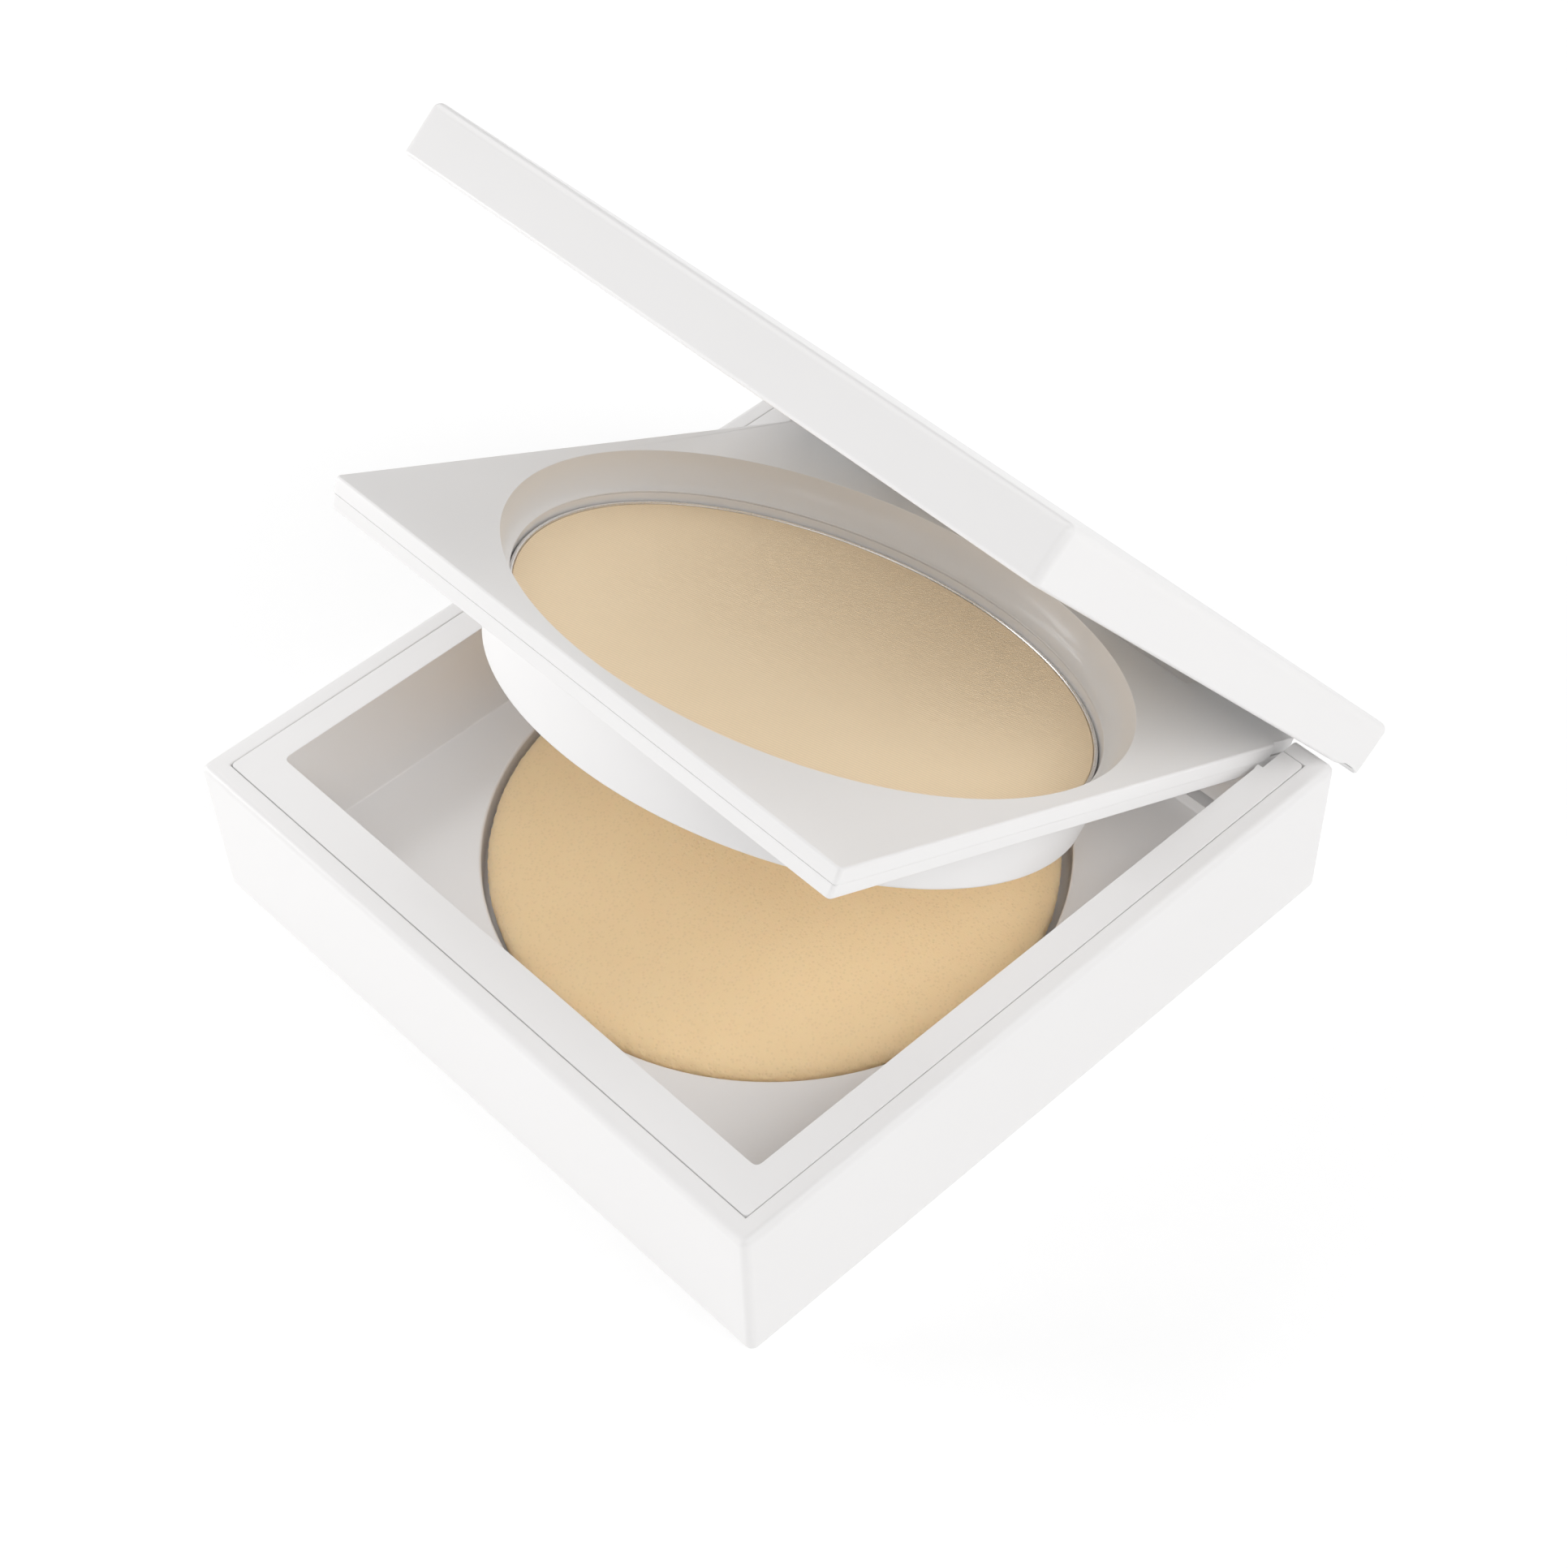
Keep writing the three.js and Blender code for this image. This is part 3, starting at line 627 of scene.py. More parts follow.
def latex_foam():
    material, nodes, links, shader = new_finish(
        "puff_foam", Roughness=0.9, Specular_IOR_Level=0.3, Sheen_Weight=0.45, Sheen_Roughness=0.5,
        Sheen_Tint=(1.0, 0.80, 0.55, 1),
        Subsurface_Weight=0.3, Subsurface_Scale=0.8 * MM)
    shader.inputs["Subsurface Radius"].default_value = (1.0, 0.5, 0.25)
    place = placed(nodes, links)
    cells = nodes.new("ShaderNodeTexVoronoi")
    cells.inputs["Scale"].default_value = 1 / PORE
    links.new(place, cells.inputs["Vector"])
    pores = between(nodes, links, cells.outputs["Distance"], 0, 1, 0.12, 0.42)
    mottle = grain(nodes, links, place, 4 * MM, detail=4, roughness=0.6)
    fuzz = grain(nodes, links, place, 0.16 * MM, detail=3)
    body = tint(nodes, links, mottle, (0.955, 0.64, 0.315), (0.98, 0.685, 0.35))
    # painted shade: the colour darkens in the pores, which are also a bump
    painted_relief_shade = between(nodes, links, pores, 0.93, 1.0)
    mix = nodes.new("ShaderNodeVectorMath")
    mix.operation = "SCALE"
    links.new(body, mix.inputs[0])
    links.new(painted_relief_shade, mix.inputs["Scale"])
    links.new(mix.outputs["Vector"], shader.inputs["Base Color"])
    pitted = relief(nodes, links, pores, 0.05 * MM, strength=0.6)
    links.new(relief(nodes, links, fuzz, 0.03 * MM, onto=pitted), shader.inputs["Normal"])
    return material


FOAM = latex_foam()

# %% [markdown]
# ## Outer shell
#
# The shell is an open square box with a narrow rim, a step inside that carries the liner, and a wide
# gap in its back wall for the hinge. A cube is rounded on all its edges, drawn in slightly at the foot
# so that it leaves the mould, and hollowed from the top by inset and extrude, as the mould's core does.

# %% Shell: rounded block, draft and hollow
ROUND = 0.9 * MM
DRAFT = 0.2 * MM


def sink(level_now, level_next, step_in):
    """In edit mode: insets the selected top face and pushes it down to the next level."""
    bpy.ops.mesh.inset(thickness=step_in)
    bpy.ops.mesh.extrude_region_move(TRANSFORM_OT_translate={"value": (0, 0, level_next - level_now)})


shell = block("shell_moulding", (-BASE_HALF, -BASE_HALF, 0), (BASE_HALF, BASE_HALF, BASE_HEIGHT))
round_edges(shell, lambda edge: True, ROUND, segments=6)
choose(shell, "VERT", lambda vertex: vertex.co.z < ROUND + TINY)
foot = (BASE_HALF - DRAFT) / BASE_HALF
bpy.ops.transform.resize(value=(foot, foot, 1), center_override=(0, 0, 0))
choose(shell, "FACE", lambda face: face.normal.z > 0.999)
sink(BASE_HEIGHT, SHELL_LEDGE, SHELL_WALL - ROUND)
sink(SHELL_LEDGE, SHELL_FLOOR, LEDGE_STEP)

# %% Shell: hinge gap and ears
gap = block("gap", (-BAY_HALF, BAY_FRONT, BAY_SILL), (BAY_HALF, BASE_HALF + MM, BASE_HEIGHT + MM))
cut(shell, gap)
EAR = ((BAY_HALF + SEAM, HINGE.y - BARREL, SHELL_FLOOR / 2),
       (BASE_HALF - MM, BASE_HALF - MM, HINGE.z + BARREL))
ear = block("ear", *EAR)
join(shell, mirrored(ear), ear)
cut(shell, hinge_rod("pin_hole", PIN_RADIUS + PIN_FIT, -BASE_HALF + 2 * MM, BASE_HALF - 2 * MM))
finish(shell, "base", "white_plastic", PLASTIC, "base_shell")

# %% [markdown]
# ## Liner
#
# The liner drops into the shell and closes it with a flange that ends a hair inside the rim: that hair
# is the thin dark line round the top. Its square recess takes the folded tray, the round well in the
# recess's floor takes the puff, and a trough at the back clears the hinge. It is put together from its
# flange, tub and cup, then hollowed.

# %% Liner: flange, tub and cup
EDGE = BASE_HALF - SHELL_WALL - HAIR
TUB = RECESS_HALF + LINER_WALL
CUP_LOW = SHELL_FLOOR + SEAM
OVERLAP = 0.5 * MM                 # parts that are joined reach this far into each other

liner = slab("liner_moulding", (-EDGE, -EDGE, SHELL_LEDGE + SEAM), (EDGE, EDGE, BASE_HEIGHT),
             corner=CORNER)
tub = slab("tub", (-TUB, RECESS_FRONT - LINER_WALL, RECESS_FLOOR - LINER_WALL),
           (TUB, TUB, BASE_HEIGHT - OVERLAP), corner=CORNER)
cup = lathe("cup", [(0, CUP_LOW), *arc((WELL_RADIUS + LINER_WALL - MM, CUP_LOW + MM), MM, -90, 0, 4),
                    (WELL_RADIUS + LINER_WALL, RECESS_FLOOR - OVERLAP), (0, RECESS_FLOOR - OVERLAP)])
join(liner, tub, cup)

# %% Liner: recess, well and bay
WELL_EDGE = 0.3 * MM
EAR_GAP = 0.3 * MM

recess = slab("recess", (-RECESS_HALF, RECESS_FRONT, RECESS_FLOOR),
              (RECESS_HALF, RECESS_HALF, BASE_HEIGHT + MM), corner=0.6 * MM, bottom=0.2 * MM)
well = lathe("well", [(0, WELL_FLOOR),
                      *arc((WELL_RADIUS - FOOT_ROUND, WELL_FLOOR + FOOT_ROUND), FOOT_ROUND, -90, 0, 4),
                      (WELL_RADIUS, RECESS_FLOOR - WELL_EDGE),
                      *arc((WELL_RADIUS + WELL_EDGE, RECESS_FLOOR - WELL_EDGE), WELL_EDGE, 180, 90, 4),
                      (WELL_RADIUS + WELL_EDGE, RECESS_FLOOR + MM), (0, RECESS_FLOOR + MM)])
bay = block("bay", (-BAY_HALF, BAY_FRONT, BAY_FLOOR), (BAY_HALF, BASE_HALF, BASE_HEIGHT + MM))
low_wall = block("low_wall", (-RECESS_HALF + 0.1 * MM, RECESS_HALF - 0.7 * MM, BAY_FLOOR),
                 (RECESS_HALF - 0.1 * MM, BAY_FRONT + OVERLAP, BASE_HEIGHT + MM))
ear_room = block("ear_room", (BAY_HALF - SEAM, HINGE.y - BARREL - EAR_GAP, 0),
                 (BASE_HALF, BASE_HALF, HINGE.z + BARREL + EAR_GAP))
cut(liner, recess, well, bay, low_wall, mirrored(ear_room), ear_room)

# %% Liner: trough floor and middle knuckle
trough = block("trough", (-BAY_HALF, BAY_FRONT, BAY_FLOOR - MM), (BAY_HALF, HINGE.y, BAY_FLOOR))
POST = [(HINGE.y - 1.4 * MM, BAY_FLOOR - 2 * MM), (HINGE.y - SEAM, BAY_FLOOR - 2 * MM),
        (HINGE.y - SEAM, BAY_FLOOR - 0.8 * MM), (HINGE.y + 1.2 * MM, BAY_FLOOR - 0.8 * MM),
        *arc((HINGE.y, HINGE.z), BARREL, 0, 180, 16)]
knuckle = drawn("knuckle", POST, -KNUCKLE_END, KNUCKLE_END)
join(liner, trough, knuckle)
cut(liner, hinge_rod("pin_hole", PIN_RADIUS + PIN_FIT, -BASE_HALF, BASE_HALF))
finish(liner, "base", "white_plastic", PLASTIC, "base_liner")

# %% [markdown]
# ## Hinge pins
#
# Two short steel pins carry both leaves. A pin is cut from drawn wire and its ends are tumbled round.

# %% Pins
pin = hinge_rod("pin_right", PIN_RADIUS, 3 * MM, BASE_HALF - 2.5 * MM, steps=32)
round_edges(pin, lambda edge: abs(edge.verts[0].co.x - edge.verts[1].co.x) < TINY, 0.25 * MM)
other_pin = mirrored(pin)
other_pin.name = "pin_left"
finish(pin, "base", "steel", STEEL, "hinge_pin_right", edge=0.02 * MM)
finish(other_pin, "base", "steel", STEEL, "hinge_pin_left", edge=0.02 * MM)

# %% [markdown]
# ## Tray: top skin
#
# The tray is made of two mouldings. The upper one is a thin square skin whose round mouth curves down
# to a lip above the pan. The curve is a quarter of an ellipse, steep at the mouth and nearly level at
# the lip, and it is cut by a turned tool, as the mould's own insert was turned.

# %% Skin, rear ears and collar
SKIN_LOW = BASE_HEIGHT - TRAY_SKIN - SEAM + HAIR
COLLAR_FOOT = LIP_LOW - SEAM + HAIR / 2
FLANGE_ROUND = 0.25 * MM           # the tray's outer edges

skin = slab("tray_skin", (-TRAY_HALF, TRAY_FRONT, SKIN_LOW), (TRAY_HALF, TRAY_BACK, BASE_HEIGHT),
            corner=CORNER, top=FLANGE_ROUND)
EAR_BACK = HINGE.y + 1.6 * MM
SWING = BASE_HEIGHT - HINGE.z + 0.05 * MM
ear_turn = math.degrees(math.acos((EAR_BACK - HINGE.y) / SWING))
rear_ear = drawn("rear_ear", [(TRAY_BACK - MM, BASE_HEIGHT - TRAY_SKIN), (TRAY_BACK - MM, BASE_HEIGHT),
                              (HINGE.y, BASE_HEIGHT), *arc((HINGE.y, HINGE.z), SWING, 88, ear_turn, 3),
                              (EAR_BACK, BASE_HEIGHT - TRAY_SKIN)], *TRAY_ARM)
collar = lathe("collar", [(0, COLLAR_FOOT), (COLLAR_LOW_RADIUS, COLLAR_FOOT),
                          (COLLAR_RADIUS, LIP_LOW + 0.9 * MM), (COLLAR_RADIUS, BASE_HEIGHT - MM),
                          (0, BASE_HEIGHT - MM)])
join(skin, mirrored(rear_ear), rear_ear, collar)

# %% Mouth
BENDS = 12
reach = MOUTH_RADIUS - LIP_RADIUS
turns = [math.pi / 2 * bend / BENDS for bend in range(BENDS + 1)]
curve = [(LIP_RADIUS + reach * math.sin(turn), BASE_HEIGHT - LIP_DEPTH * math.cos(turn)) for turn in turns]
mouth = lathe("mouth", [(0, LIP_LOW - MM), (LIP_RADIUS, LIP_LOW - MM), *curve,
                        (MOUTH_RADIUS, BASE_HEIGHT + MM), (0, BASE_HEIGHT + MM)])
cut(skin, mouth)
finish(skin, "tray", "white_plastic", PLASTIC, "tray_top_plate", edge=0.1 * MM)

# %% [markdown]
# ## Tray: bowl
#
# The lower moulding is a flange, a hair smaller than the skin so that a parting line shows on the
# tray's sides, with a round bowl hanging from it and two outer hinge arms behind. The bowl's wall leans
# outwards by a degree or so, and its foot is rounded.

# %% Bowl: flange, cup and arms
FLANGE_TOP = BASE_HEIGHT - TRAY_SKIN - SEAM
FLANGE_INSET = 0.1 * MM
BOWL_FOOT = 31.2 * MM
NECK = (31.75 * MM, 13.9 * MM)     # radius and height where the bowl's wall starts to flare
NECK_TOP = 32.8 * MM
BOWL_LEAN = 0.15 * MM              # how far the flange's sides lean in at their foot

bowl = slab("tray_bowl_moulding", (-TRAY_HALF + FLANGE_INSET, TRAY_FRONT + FLANGE_INSET, TRAY_LOW),
            (TRAY_HALF - FLANGE_INSET, TRAY_BACK, FLANGE_TOP), corner=CORNER, bottom=FLANGE_ROUND)
choose(bowl, "VERT", lambda vertex: vertex.co.z < FLANGE_TOP - TINY)
lean = 1 - BOWL_LEAN / TRAY_HALF
bpy.ops.transform.resize(value=(lean, lean, 1), center_override=(0, 0, 0))
hanging = lathe("hanging", [(0, BOWL_LOW),
                            *arc((BOWL_FOOT - FOOT_ROUND, BOWL_LOW + FOOT_ROUND), FOOT_ROUND, -90, 0, 6),
                            NECK, (NECK_TOP, TRAY_LOW + 0.1 * MM), (NECK_TOP, TRAY_LOW + OVERLAP),
                            (0, TRAY_LOW + OVERLAP)])
ARM = [(TRAY_BACK - 2.6 * MM, FLANGE_TOP), (TRAY_BACK - 2.6 * MM, TRAY_LOW + 0.4 * MM),
       (HINGE.y - BARREL, HINGE.z + MM), *arc((HINGE.y, HINGE.z), BARREL, 180, 360, 16),
       (HINGE.y + BARREL, HINGE.z + 3 * MM), (HINGE.y + 2 * MM, FLANGE_TOP)]
arm = drawn("tray_arm", ARM, *TRAY_ARM)
join(bowl, hanging, mirrored(arm), arm)

# %% Bowl: bore, pin hole and striker pockets
bore = lathe("bore", [(0, BOWL_FLOOR), (BOWL_BORE, BOWL_FLOOR), (BOWL_BORE, LIP_LOW - SEAM),
                      (COLLAR_LOW_RADIUS + SEAM, LIP_LOW - SEAM),
                      (COLLAR_RADIUS + SEAM, LIP_LOW + 0.8 * MM), (COLLAR_RADIUS + SEAM, BASE_HEIGHT),
                      (0, BASE_HEIGHT)])
pocket_low = Vector((CLOSURE_X, TRAY_FRONT / MM + 0.7, FLANGE_TOP / MM - 1.1)) * MM
pocket = block("pocket", pocket_low, pocket_low + Vector((CLOSURE_LENGTH, 2, 2)) * MM)
cut(bowl, bore, mirrored(pocket), pocket)
cut(bowl, hinge_rod("pin_hole", PIN_RADIUS + PIN_FIT, -BASE_HALF, BASE_HALF))
finish(bowl, "tray", "white_plastic", PLASTIC, "tray_bowl", edge=0.1 * MM)

# %% [markdown]
# ## Pan
#
# The pan is drawn from thin aluminium sheet. Its mouth is rolled to a small bead, which shows as a
# bright line with a dark one beside it. One profile that runs up the outside, over the bead and down
# the inside makes it, turned once round.

# %% Pan
BEAD = PAN_WALL / 2
PAN_FOOT = PAN_RADIUS - 0.2 * MM
PAN_BEND = 0.4 * MM                # outside radius where the wall meets the floor

pan = lathe("powder_pan_cup", [
    (0, PAN_LOW), *arc((PAN_FOOT - PAN_BEND, PAN_LOW + PAN_BEND), PAN_BEND, -90, 0, 5),
    *arc((PAN_RADIUS - BEAD, PAN_HIGH - BEAD), BEAD, 0, 180, 10),
    *arc((PAN_FOOT - PAN_WALL - 0.2 * MM, PAN_LOW + PAN_WALL + 0.2 * MM), 0.2 * MM, 0, -90, 3),
    (0, PAN_LOW + PAN_WALL)], steps=200)
swing(pan, "tray")
flat_shade(pan)
hand_over(pan, "tray", "pan_aluminium", ALUMINIUM, "powder_pan")

# %% [markdown]
# ## Pressed powder
#
# The cake fills the pan nearly to the bead. The press leaves its edge a little rounded and its middle
# very slightly crowned. Its top is turned in several rings so that the crown is smooth.

# %% Powder cake
CAKE_RADIUS = PAN_RADIUS - PAN_WALL - 0.05 * MM
CAKE_TOP = PAN_HIGH - 0.14 * MM
CAKE_LOW = PAN_LOW + PAN_WALL + 0.1 * MM
CAKE_EDGE = 0.2 * MM
CROWN = 0.08 * MM

crown = [(CAKE_RADIUS * share, CAKE_TOP + CROWN * (1 - share ** 2))
         for share in (0.95, 0.8, 0.6, 0.4, 0.2, 0)]
cake = lathe("powder_cake", [
    (0, CAKE_LOW), (CAKE_RADIUS - 0.3 * MM, CAKE_LOW),
    *arc((CAKE_RADIUS - CAKE_EDGE, CAKE_TOP - CAKE_EDGE), CAKE_EDGE, 0, 90, 6), *crown], steps=200)
swing(cake, "tray")
flat_shade(cake)
hand_over(cake, "tray", "pressed_powder", POWDER, "pressed_powder")

# %% [markdown]
# ## Lid
#
# The lid is a shallow square tray, upside down, with two swan-neck arms that reach down into the hinge.
# Its outer edge is rolled over more than its mating edge. The underside is hollowed along the hinge
# line, so that it clears the base's back rim as it swings.

# %% Lid shell
MATING_ROUND = 0.4 * MM

lid = block("lid_moulding", (-LID_HALF, -BASE_HALF, LID_LOW), (LID_HALF, BASE_HALF, LID_HIGH))
round_edges(lid, lambda edge: middle(edge).z > LID_LOW + TINY, ROUND, segments=6)
round_edges(lid, lambda edge: abs(middle(edge).z - LID_LOW) < TINY, MATING_ROUND)
hollow = slab("hollow", (-LID_HALF + LID_WALL, -BASE_HALF + LID_WALL, LID_LOW - MM),
              (LID_HALF - LID_WALL, BASE_HALF - LID_WALL, LID_HIGH - LID_ROOF), corner=CORNER)
cut(lid, hollow, hinge_rod("relief", RELIEF, -BASE_HALF - MM, BASE_HALF + MM, steps=160))

# %% Lid arms
UNDER_ROOF = LID_HIGH - LID_ROOF + 0.3 * MM
SWAN_NECK = [(HINGE.y - 1.8 * MM, UNDER_ROOF), (HINGE.y - 1.8 * MM, HINGE.z + 2.4 * MM),
             *arc((HINGE.y, HINGE.z), BARREL, 180, 360, 16),
             (HINGE.y + 1.2 * MM, HINGE.z + 2.8 * MM), (HINGE.y + 1.2 * MM, LID_LOW - 0.3 * MM),
             (BASE_HALF - 1.2 * MM, LID_LOW + 1.2 * MM), (BASE_HALF - 1.2 * MM, UNDER_ROOF)]
neck = drawn("neck", SWAN_NECK, *LID_ARM)
join(lid, mirrored(neck), neck)
cut(lid, hinge_rod("pin_hole", PIN_RADIUS + PIN_FIT, -BASE_HALF, BASE_HALF))
finish(lid, "lid", "white_plastic", PLASTIC, "lid_shell")

# %% [markdown]
# ## Inner frame and mirror
#
# A plate closes the lid from inside. It has a shallow square pocket that the mirror is glued into,
# cut-outs that pass the arms, and two small pockets for the closure magnets.

# %% Inner frame
PLATE_X = LID_HALF - LID_WALL - SEAM
PLATE_Y = BASE_HALF - LID_WALL - SEAM
PLATE_HEIGHT = 2.7 * MM
MIRROR_POCKET = MIRROR_HALF + 0.2 * MM
ARM_GAP = 0.3 * MM

plate = slab("lid_plate", (-PLATE_X, -PLATE_Y, LID_LOW), (PLATE_X, PLATE_Y, LID_LOW + PLATE_HEIGHT),
             corner=CORNER)
mirror_pocket = slab("mirror_pocket", (-MIRROR_POCKET, -MIRROR_POCKET, LID_LOW - MM),
                     (MIRROR_POCKET, MIRROR_POCKET, LID_LOW + 1.9 * MM), corner=0.7 * MM)
arm_room = block("arm_room", (LID_ARM[0] - ARM_GAP, HINGE.y - 2.1 * MM, 0),
                 (LID_ARM[1] + ARM_GAP, BASE_HALF, LID_HIGH))
magnet_low = Vector((CLOSURE_X, RECESS_FRONT / MM - 3.4, LID_LOW / MM + 1)) * MM
magnet_room = block("magnet_room", magnet_low, magnet_low + Vector((CLOSURE_LENGTH, 2.4, 2)) * MM)
cut(plate, mirror_pocket, mirrored(arm_room), arm_room, mirrored(magnet_room), magnet_room)
cut(plate, hinge_rod("relief", RELIEF, -BASE_HALF - MM, BASE_HALF + MM, steps=160))
finish(plate, "lid", "white_plastic", PLASTIC, "lid_inner_frame")

# %% Mirror
mirror = slab("mirror_sheet", (-MIRROR_HALF, -MIRROR_HALF, LID_LOW + 0.15 * MM),
              (MIRROR_HALF, MIRROR_HALF, LID_LOW + 1.25 * MM), corner=CORNER)
finish(mirror, "lid", "mirror_glass", GLASS, "mirror", edge=0.15 * MM)

# %% [markdown]
# ## Hidden parts
#
# Magnets, strikers and adhesive films keep their plain shapes, which are the real ones. They only need
# their finishes.

# %% Finishes for the kept nodes
KEPT = {"base_magnet_left": MAGNET, "base_magnet_right": MAGNET, "lid_magnet_left": MAGNET,
        "lid_magnet_right": MAGNET, "tray_striker_left": STEEL, "tray_striker_right": STEEL,
        "pan_adhesive": ADHESIVE, "mirror_adhesive": ADHESIVE}
for name, material in KEPT.items():
    node = frame["nodes"][name]
    node.data.materials.clear()
    node.data.materials.append(material)
print(len(KEPT), "nodes keep their shape")

# %% [markdown]
# ## Foam puff
#
# The puff is cut from a sheet of foam and its edge is ground round. Foam is soft, so it swells a little
# between its edges. Its cloth simulation runs at ten times life size, because the solver is made for
# things the size of clothes, and it starts from a slightly thinner blank. Cloth has none of foam's
# inner stiffness, so left to itself it balloons by several millimetres. Only the direction in which each
# point moves is of use: every move is cut to a small cap, and the puff is then stretched to its real
# size.

# %% Puff: the ground blank
PUFF_RADIUS = 29.4 * MM
PUFF_TOP = 7.3 * MM
PUFF_LOW = WELL_FLOOR + 0.1 * MM
PUFF_AT = (0.15 * MM, WELL_Y - 0.45 * MM)
PUFF_EDGE = 1.8 * MM
BLANK_TOP = PUFF_TOP - 0.3 * MM

puff = lathe("foam_puff", [
    (0, PUFF_LOW), (PUFF_RADIUS - MM, PUFF_LOW), (PUFF_RADIUS - 0.2 * MM, PUFF_LOW + 0.6 * MM),
    *arc((PUFF_RADIUS - PUFF_EDGE, BLANK_TOP - PUFF_EDGE), PUFF_EDGE, 0, 90, 8), (0, BLANK_TOP)],
    steps=128, at=PUFF_AT)
print("blank:", len(puff.data.polygons), "faces")

# %% Puff: swelling
SIM_SIZE = 10
VOXEL = 0.65 * MM
CAP = 0.3 * MM


def remesh(piece, voxel):
    take(piece)
    modifier = piece.modifiers.new("remesh", "REMESH")
    modifier.mode = "VOXEL"
    modifier.voxel_size = voxel
    bpy.ops.object.modifier_apply(modifier=modifier.name)


def rescale(piece, factor):
    take(piece)
    bpy.ops.transform.resize(value=(factor, factor, factor), center_override=(0, 0, 0))
    bpy.ops.object.transform_apply(location=True, rotation=True, scale=True)


def swell(piece, frames=20, pressure=4.0):
    """Blows the piece up as cloth, without gravity."""
    cloth = piece.modifiers.new("swell", "CLOTH")
    cloth.settings.use_pressure = True
    cloth.settings.uniform_pressure_force = pressure
    cloth.settings.effector_weights.gravity = 0
    cloth.settings.quality = 4
    cloth.point_cache.frame_start = 1
    cloth.point_cache.frame_end = frames
    scene = bpy.context.scene
    for step in range(1, frames + 1):
        scene.frame_set(step)
    take(piece)
    bpy.ops.object.modifier_apply(modifier=cloth.name)
    scene.frame_set(1)


def press_into(piece, low, high):
    """Stretches the piece a little on each axis, until its box meets the given one."""
    points = [vertex.co.copy() for vertex in piece.data.vertices]
    own_low = [min(point[axis] for point in points) for axis in range(3)]
    own_high = [max(point[axis] for point in points) for axis in range(3)]
    for vertex, point in zip(piece.data.vertices, points):
        for axis in range(3):
            share = (point[axis] - own_low[axis]) / (own_high[axis] - own_low[axis])
            vertex.co[axis] = low[axis] + share * (high[axis] - low[axis])
    print("puff pressed from %.2f to %.2f mm wide" % ((own_high[0] - own_low[0]) / MM,
                                                      (high[0] - low[0]) / MM))


remesh(puff, VOXEL)
start = [vertex.co.copy() for vertex in puff.data.vertices]
rescale(puff, SIM_SIZE)
swell(puff)
rescale(puff, 1 / SIM_SIZE)
moves = [vertex.co - place for vertex, place in zip(puff.data.vertices, start)]
print("swelling reached %.2f mm before the cap" % (max(move.length for move in moves) / MM))
for vertex, place, move in zip(puff.data.vertices, start, moves):
    vertex.co = place + move * min(1, CAP / max(move.length, TINY))
press_into(puff, *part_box("sponge_puff"))
subdivide = puff.modifiers.new("fine", "SUBSURF")
subdivide.levels = subdivide.render_levels = 1
take(puff)
bpy.ops.object.modifier_apply(modifier=subdivide.name)

# %% [markdown]
# The grinding wheel leaves foam uneven: the top has very shallow dents, and the ground edge is nibbled
# where cells tear. These are moved in code, with noise that gives the same result each time.

# %% Puff: dents and nibbled edge
DENT = 0.07 * MM
DENT_SIZE = 4 * MM
NIBBLE = 0.1 * MM
TEAR_SIZE = 0.55 * MM
EDGE_START, EDGE_FADE = 0.94, 0.05   # shares of the radius over which the torn edge sets in


def uneven(vertex, normal):
    """How a point of the foam's skin is moved by dents and by the torn cells of the edge."""
    dent = noise.noise(vertex / DENT_SIZE) * DENT
    out = math.hypot(vertex.x - PUFF_AT[0], vertex.y - PUFF_AT[1]) / PUFF_RADIUS
    edge = min(1, max(0, (out - EDGE_START) / EDGE_FADE))
    torn = noise.fractal(vertex / TEAR_SIZE, 1, 2, 3) * NIBBLE * edge
    return normal * (dent + torn)


skin_points = [(vertex.co.copy(), vertex.normal.copy()) for vertex in puff.data.vertices]
for vertex, (place, normal) in zip(puff.data.vertices, skin_points):
    vertex.co = place + uneven(place, normal)
    vertex.co.z = max(vertex.co.z, PUFF_LOW)
take(puff)
bpy.ops.object.shade_smooth()
hand_over(puff, "base", "puff_foam", FOAM, "sponge_puff")

# %% [markdown]
# ## Table and light
#
# The compact stands on a white table with lamps all round it, so that even the recess is light. The
# strongest is low on the left and lights the front walls, with a weaker one beside it at the front. Most
# of those on the right stand higher and look in under the lid. The table glows a little, so that it
# reads as pure white and keeps only the shadow close round the base. The picture's middle tones are
# lifted, as a bright product picture's are.

# %% Table
TABLE_SIDE = 6
TABLE_DROP = 0.02 * MM             # keeps the table clear of the shell's foot
TABLE_GLOW = 0.42

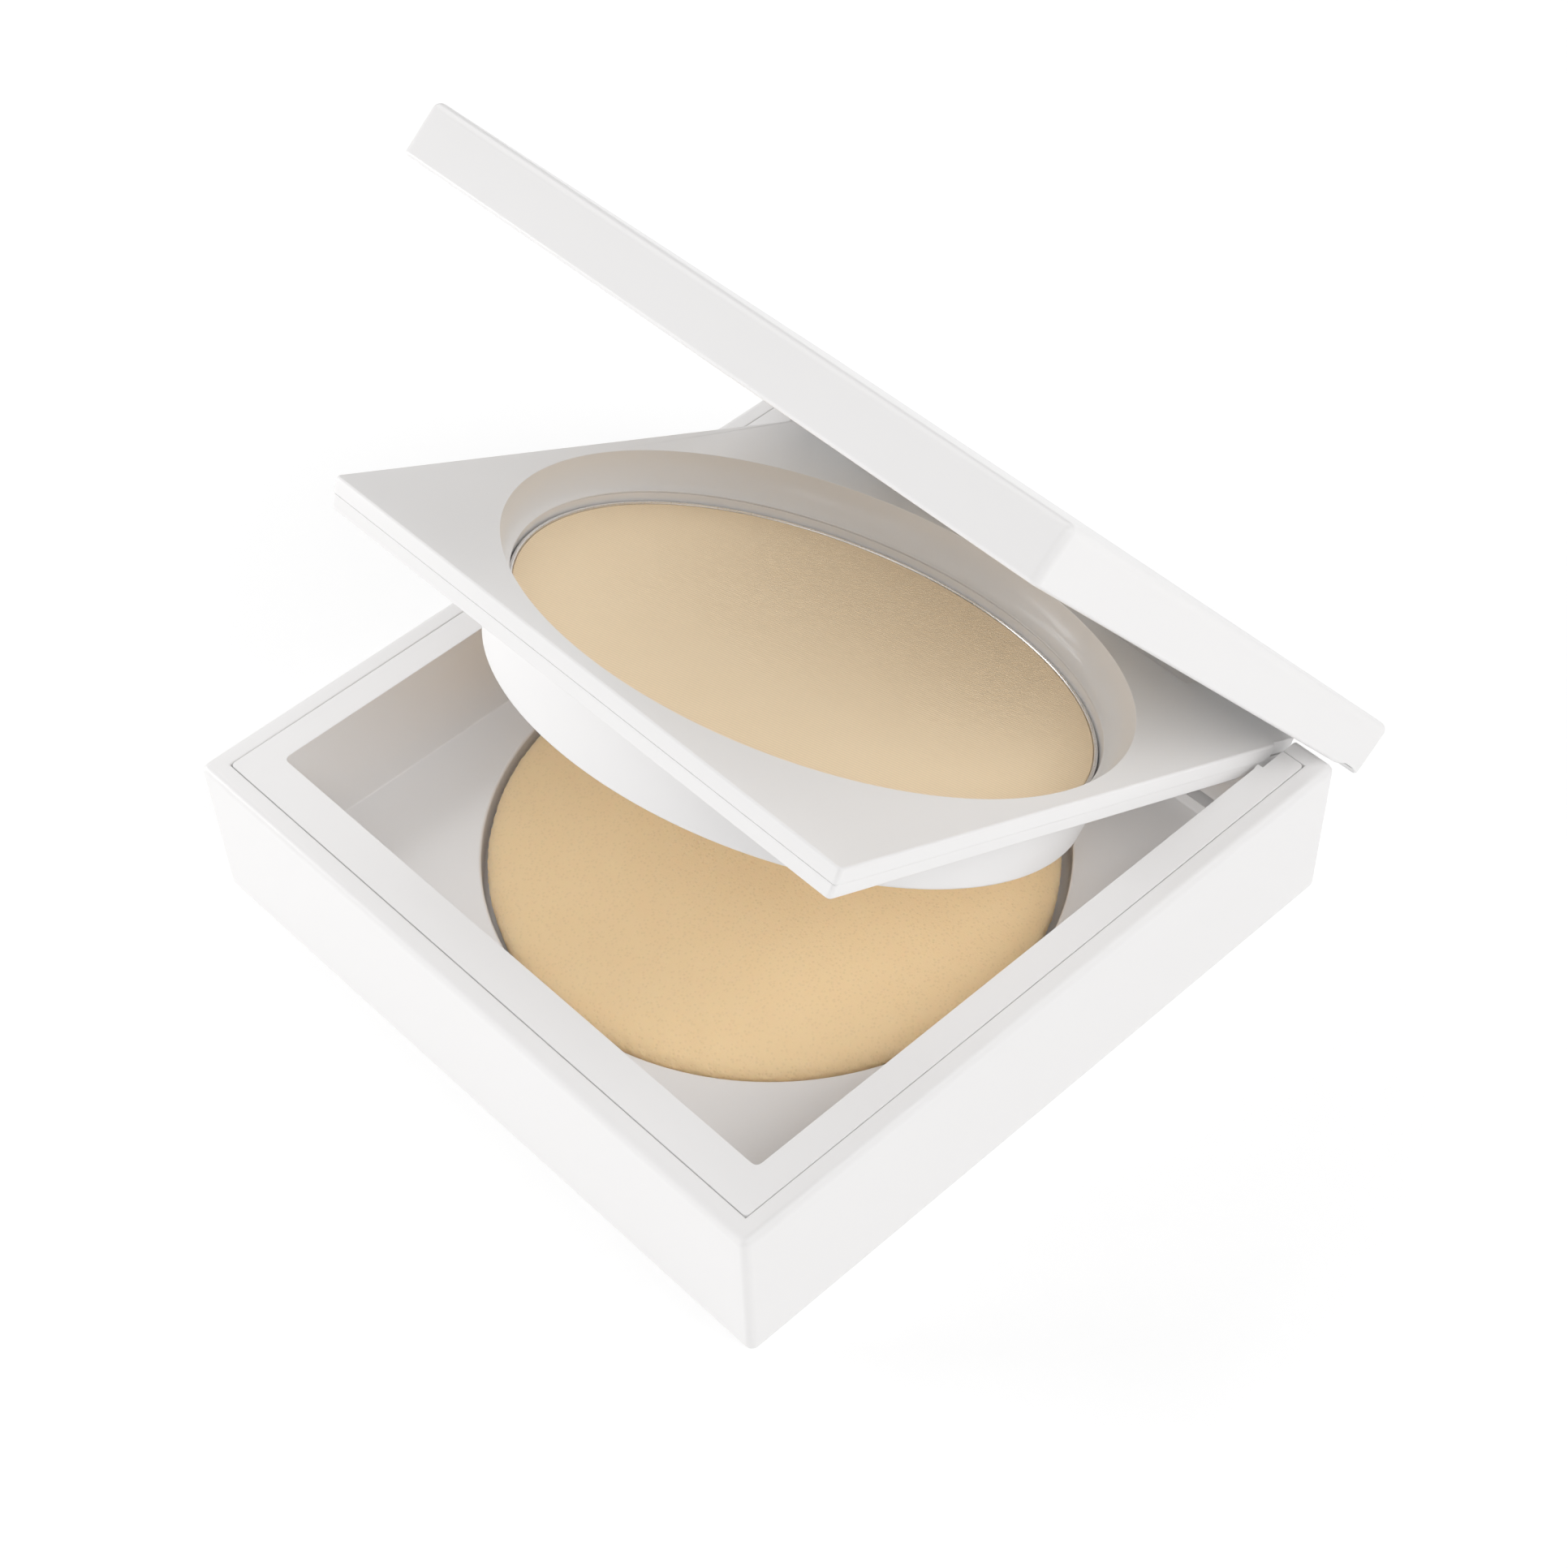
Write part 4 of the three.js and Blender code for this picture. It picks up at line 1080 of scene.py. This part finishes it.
bpy.ops.object.select_all(action="DESELECT")
bpy.ops.mesh.primitive_plane_add(size=TABLE_SIDE, location=(0, 0, -TABLE_DROP))
table = bpy.context.object
table.name = "table"
table_finish, nodes, links, shader = new_finish(
    "table_white", Roughness=0.7, Specular_IOR_Level=0.1, Emission_Strength=TABLE_GLOW)
shader.inputs["Emission Color"].default_value = (1, 1, 1, 1)
paper = grain(nodes, links, placed(nodes, links), 2 * MM)
links.new(tint(nodes, links, paper, (0.66, 0.66, 0.66), (0.68, 0.68, 0.68)), shader.inputs["Base Color"])
table.data.materials.append(table_finish)

# %% Sky
SKY_LIGHT = 0.04

world = bpy.data.worlds.new("studio")
world.use_nodes = True
world.node_tree.nodes["Background"].inputs["Color"].default_value = (1, 1, 1, 1)
world.node_tree.nodes["Background"].inputs["Strength"].default_value = SKY_LIGHT
bpy.context.scene.world = world


# %% Softboxes
MIDDLE_TONES = 1.35                # over 1 lifts them


def softbox(name, azimuth, elevation, distance, size, light):
    """A square lamp that faces the compact. light is what it adds to a white card that faces it."""
    turn, lift = math.radians(azimuth), math.radians(elevation)
    way = Vector((math.sin(turn) * math.cos(lift), -math.cos(turn) * math.cos(lift), math.sin(lift)))
    bpy.ops.object.light_add(type="AREA", location=AIM + way * distance)
    lamp = bpy.context.object
    lamp.name = name
    lamp.data.size = size
    lamp.data.energy = light * (math.pi * distance) ** 2
    lamp.rotation_euler = way.to_track_quat("Z", "Y").to_euler()


softbox("left_low", -52, 15, 0.6, 0.3, 0.50)
softbox("front_low", -8, 17, 0.6, 0.3, 0.17)
softbox("left_side", -105, 40, 1.5, 1.0, 0.30)
softbox("front_high", 38, 52, 1.5, 1.0, 0.14)
softbox("right_high", 80, 45, 0.8, 0.5, 0.32)
softbox("right_low", 110, 18, 1.5, 1.0, 0.09)
softbox("right_back", 125, 40, 0.8, 0.5, 0.26)
softbox("back_high", 200, 45, 1.5, 1.0, 0.20)
bpy.context.scene.view_settings.gamma = MIDDLE_TONES
bpy.context.scene.view_settings.view_transform = "Standard"
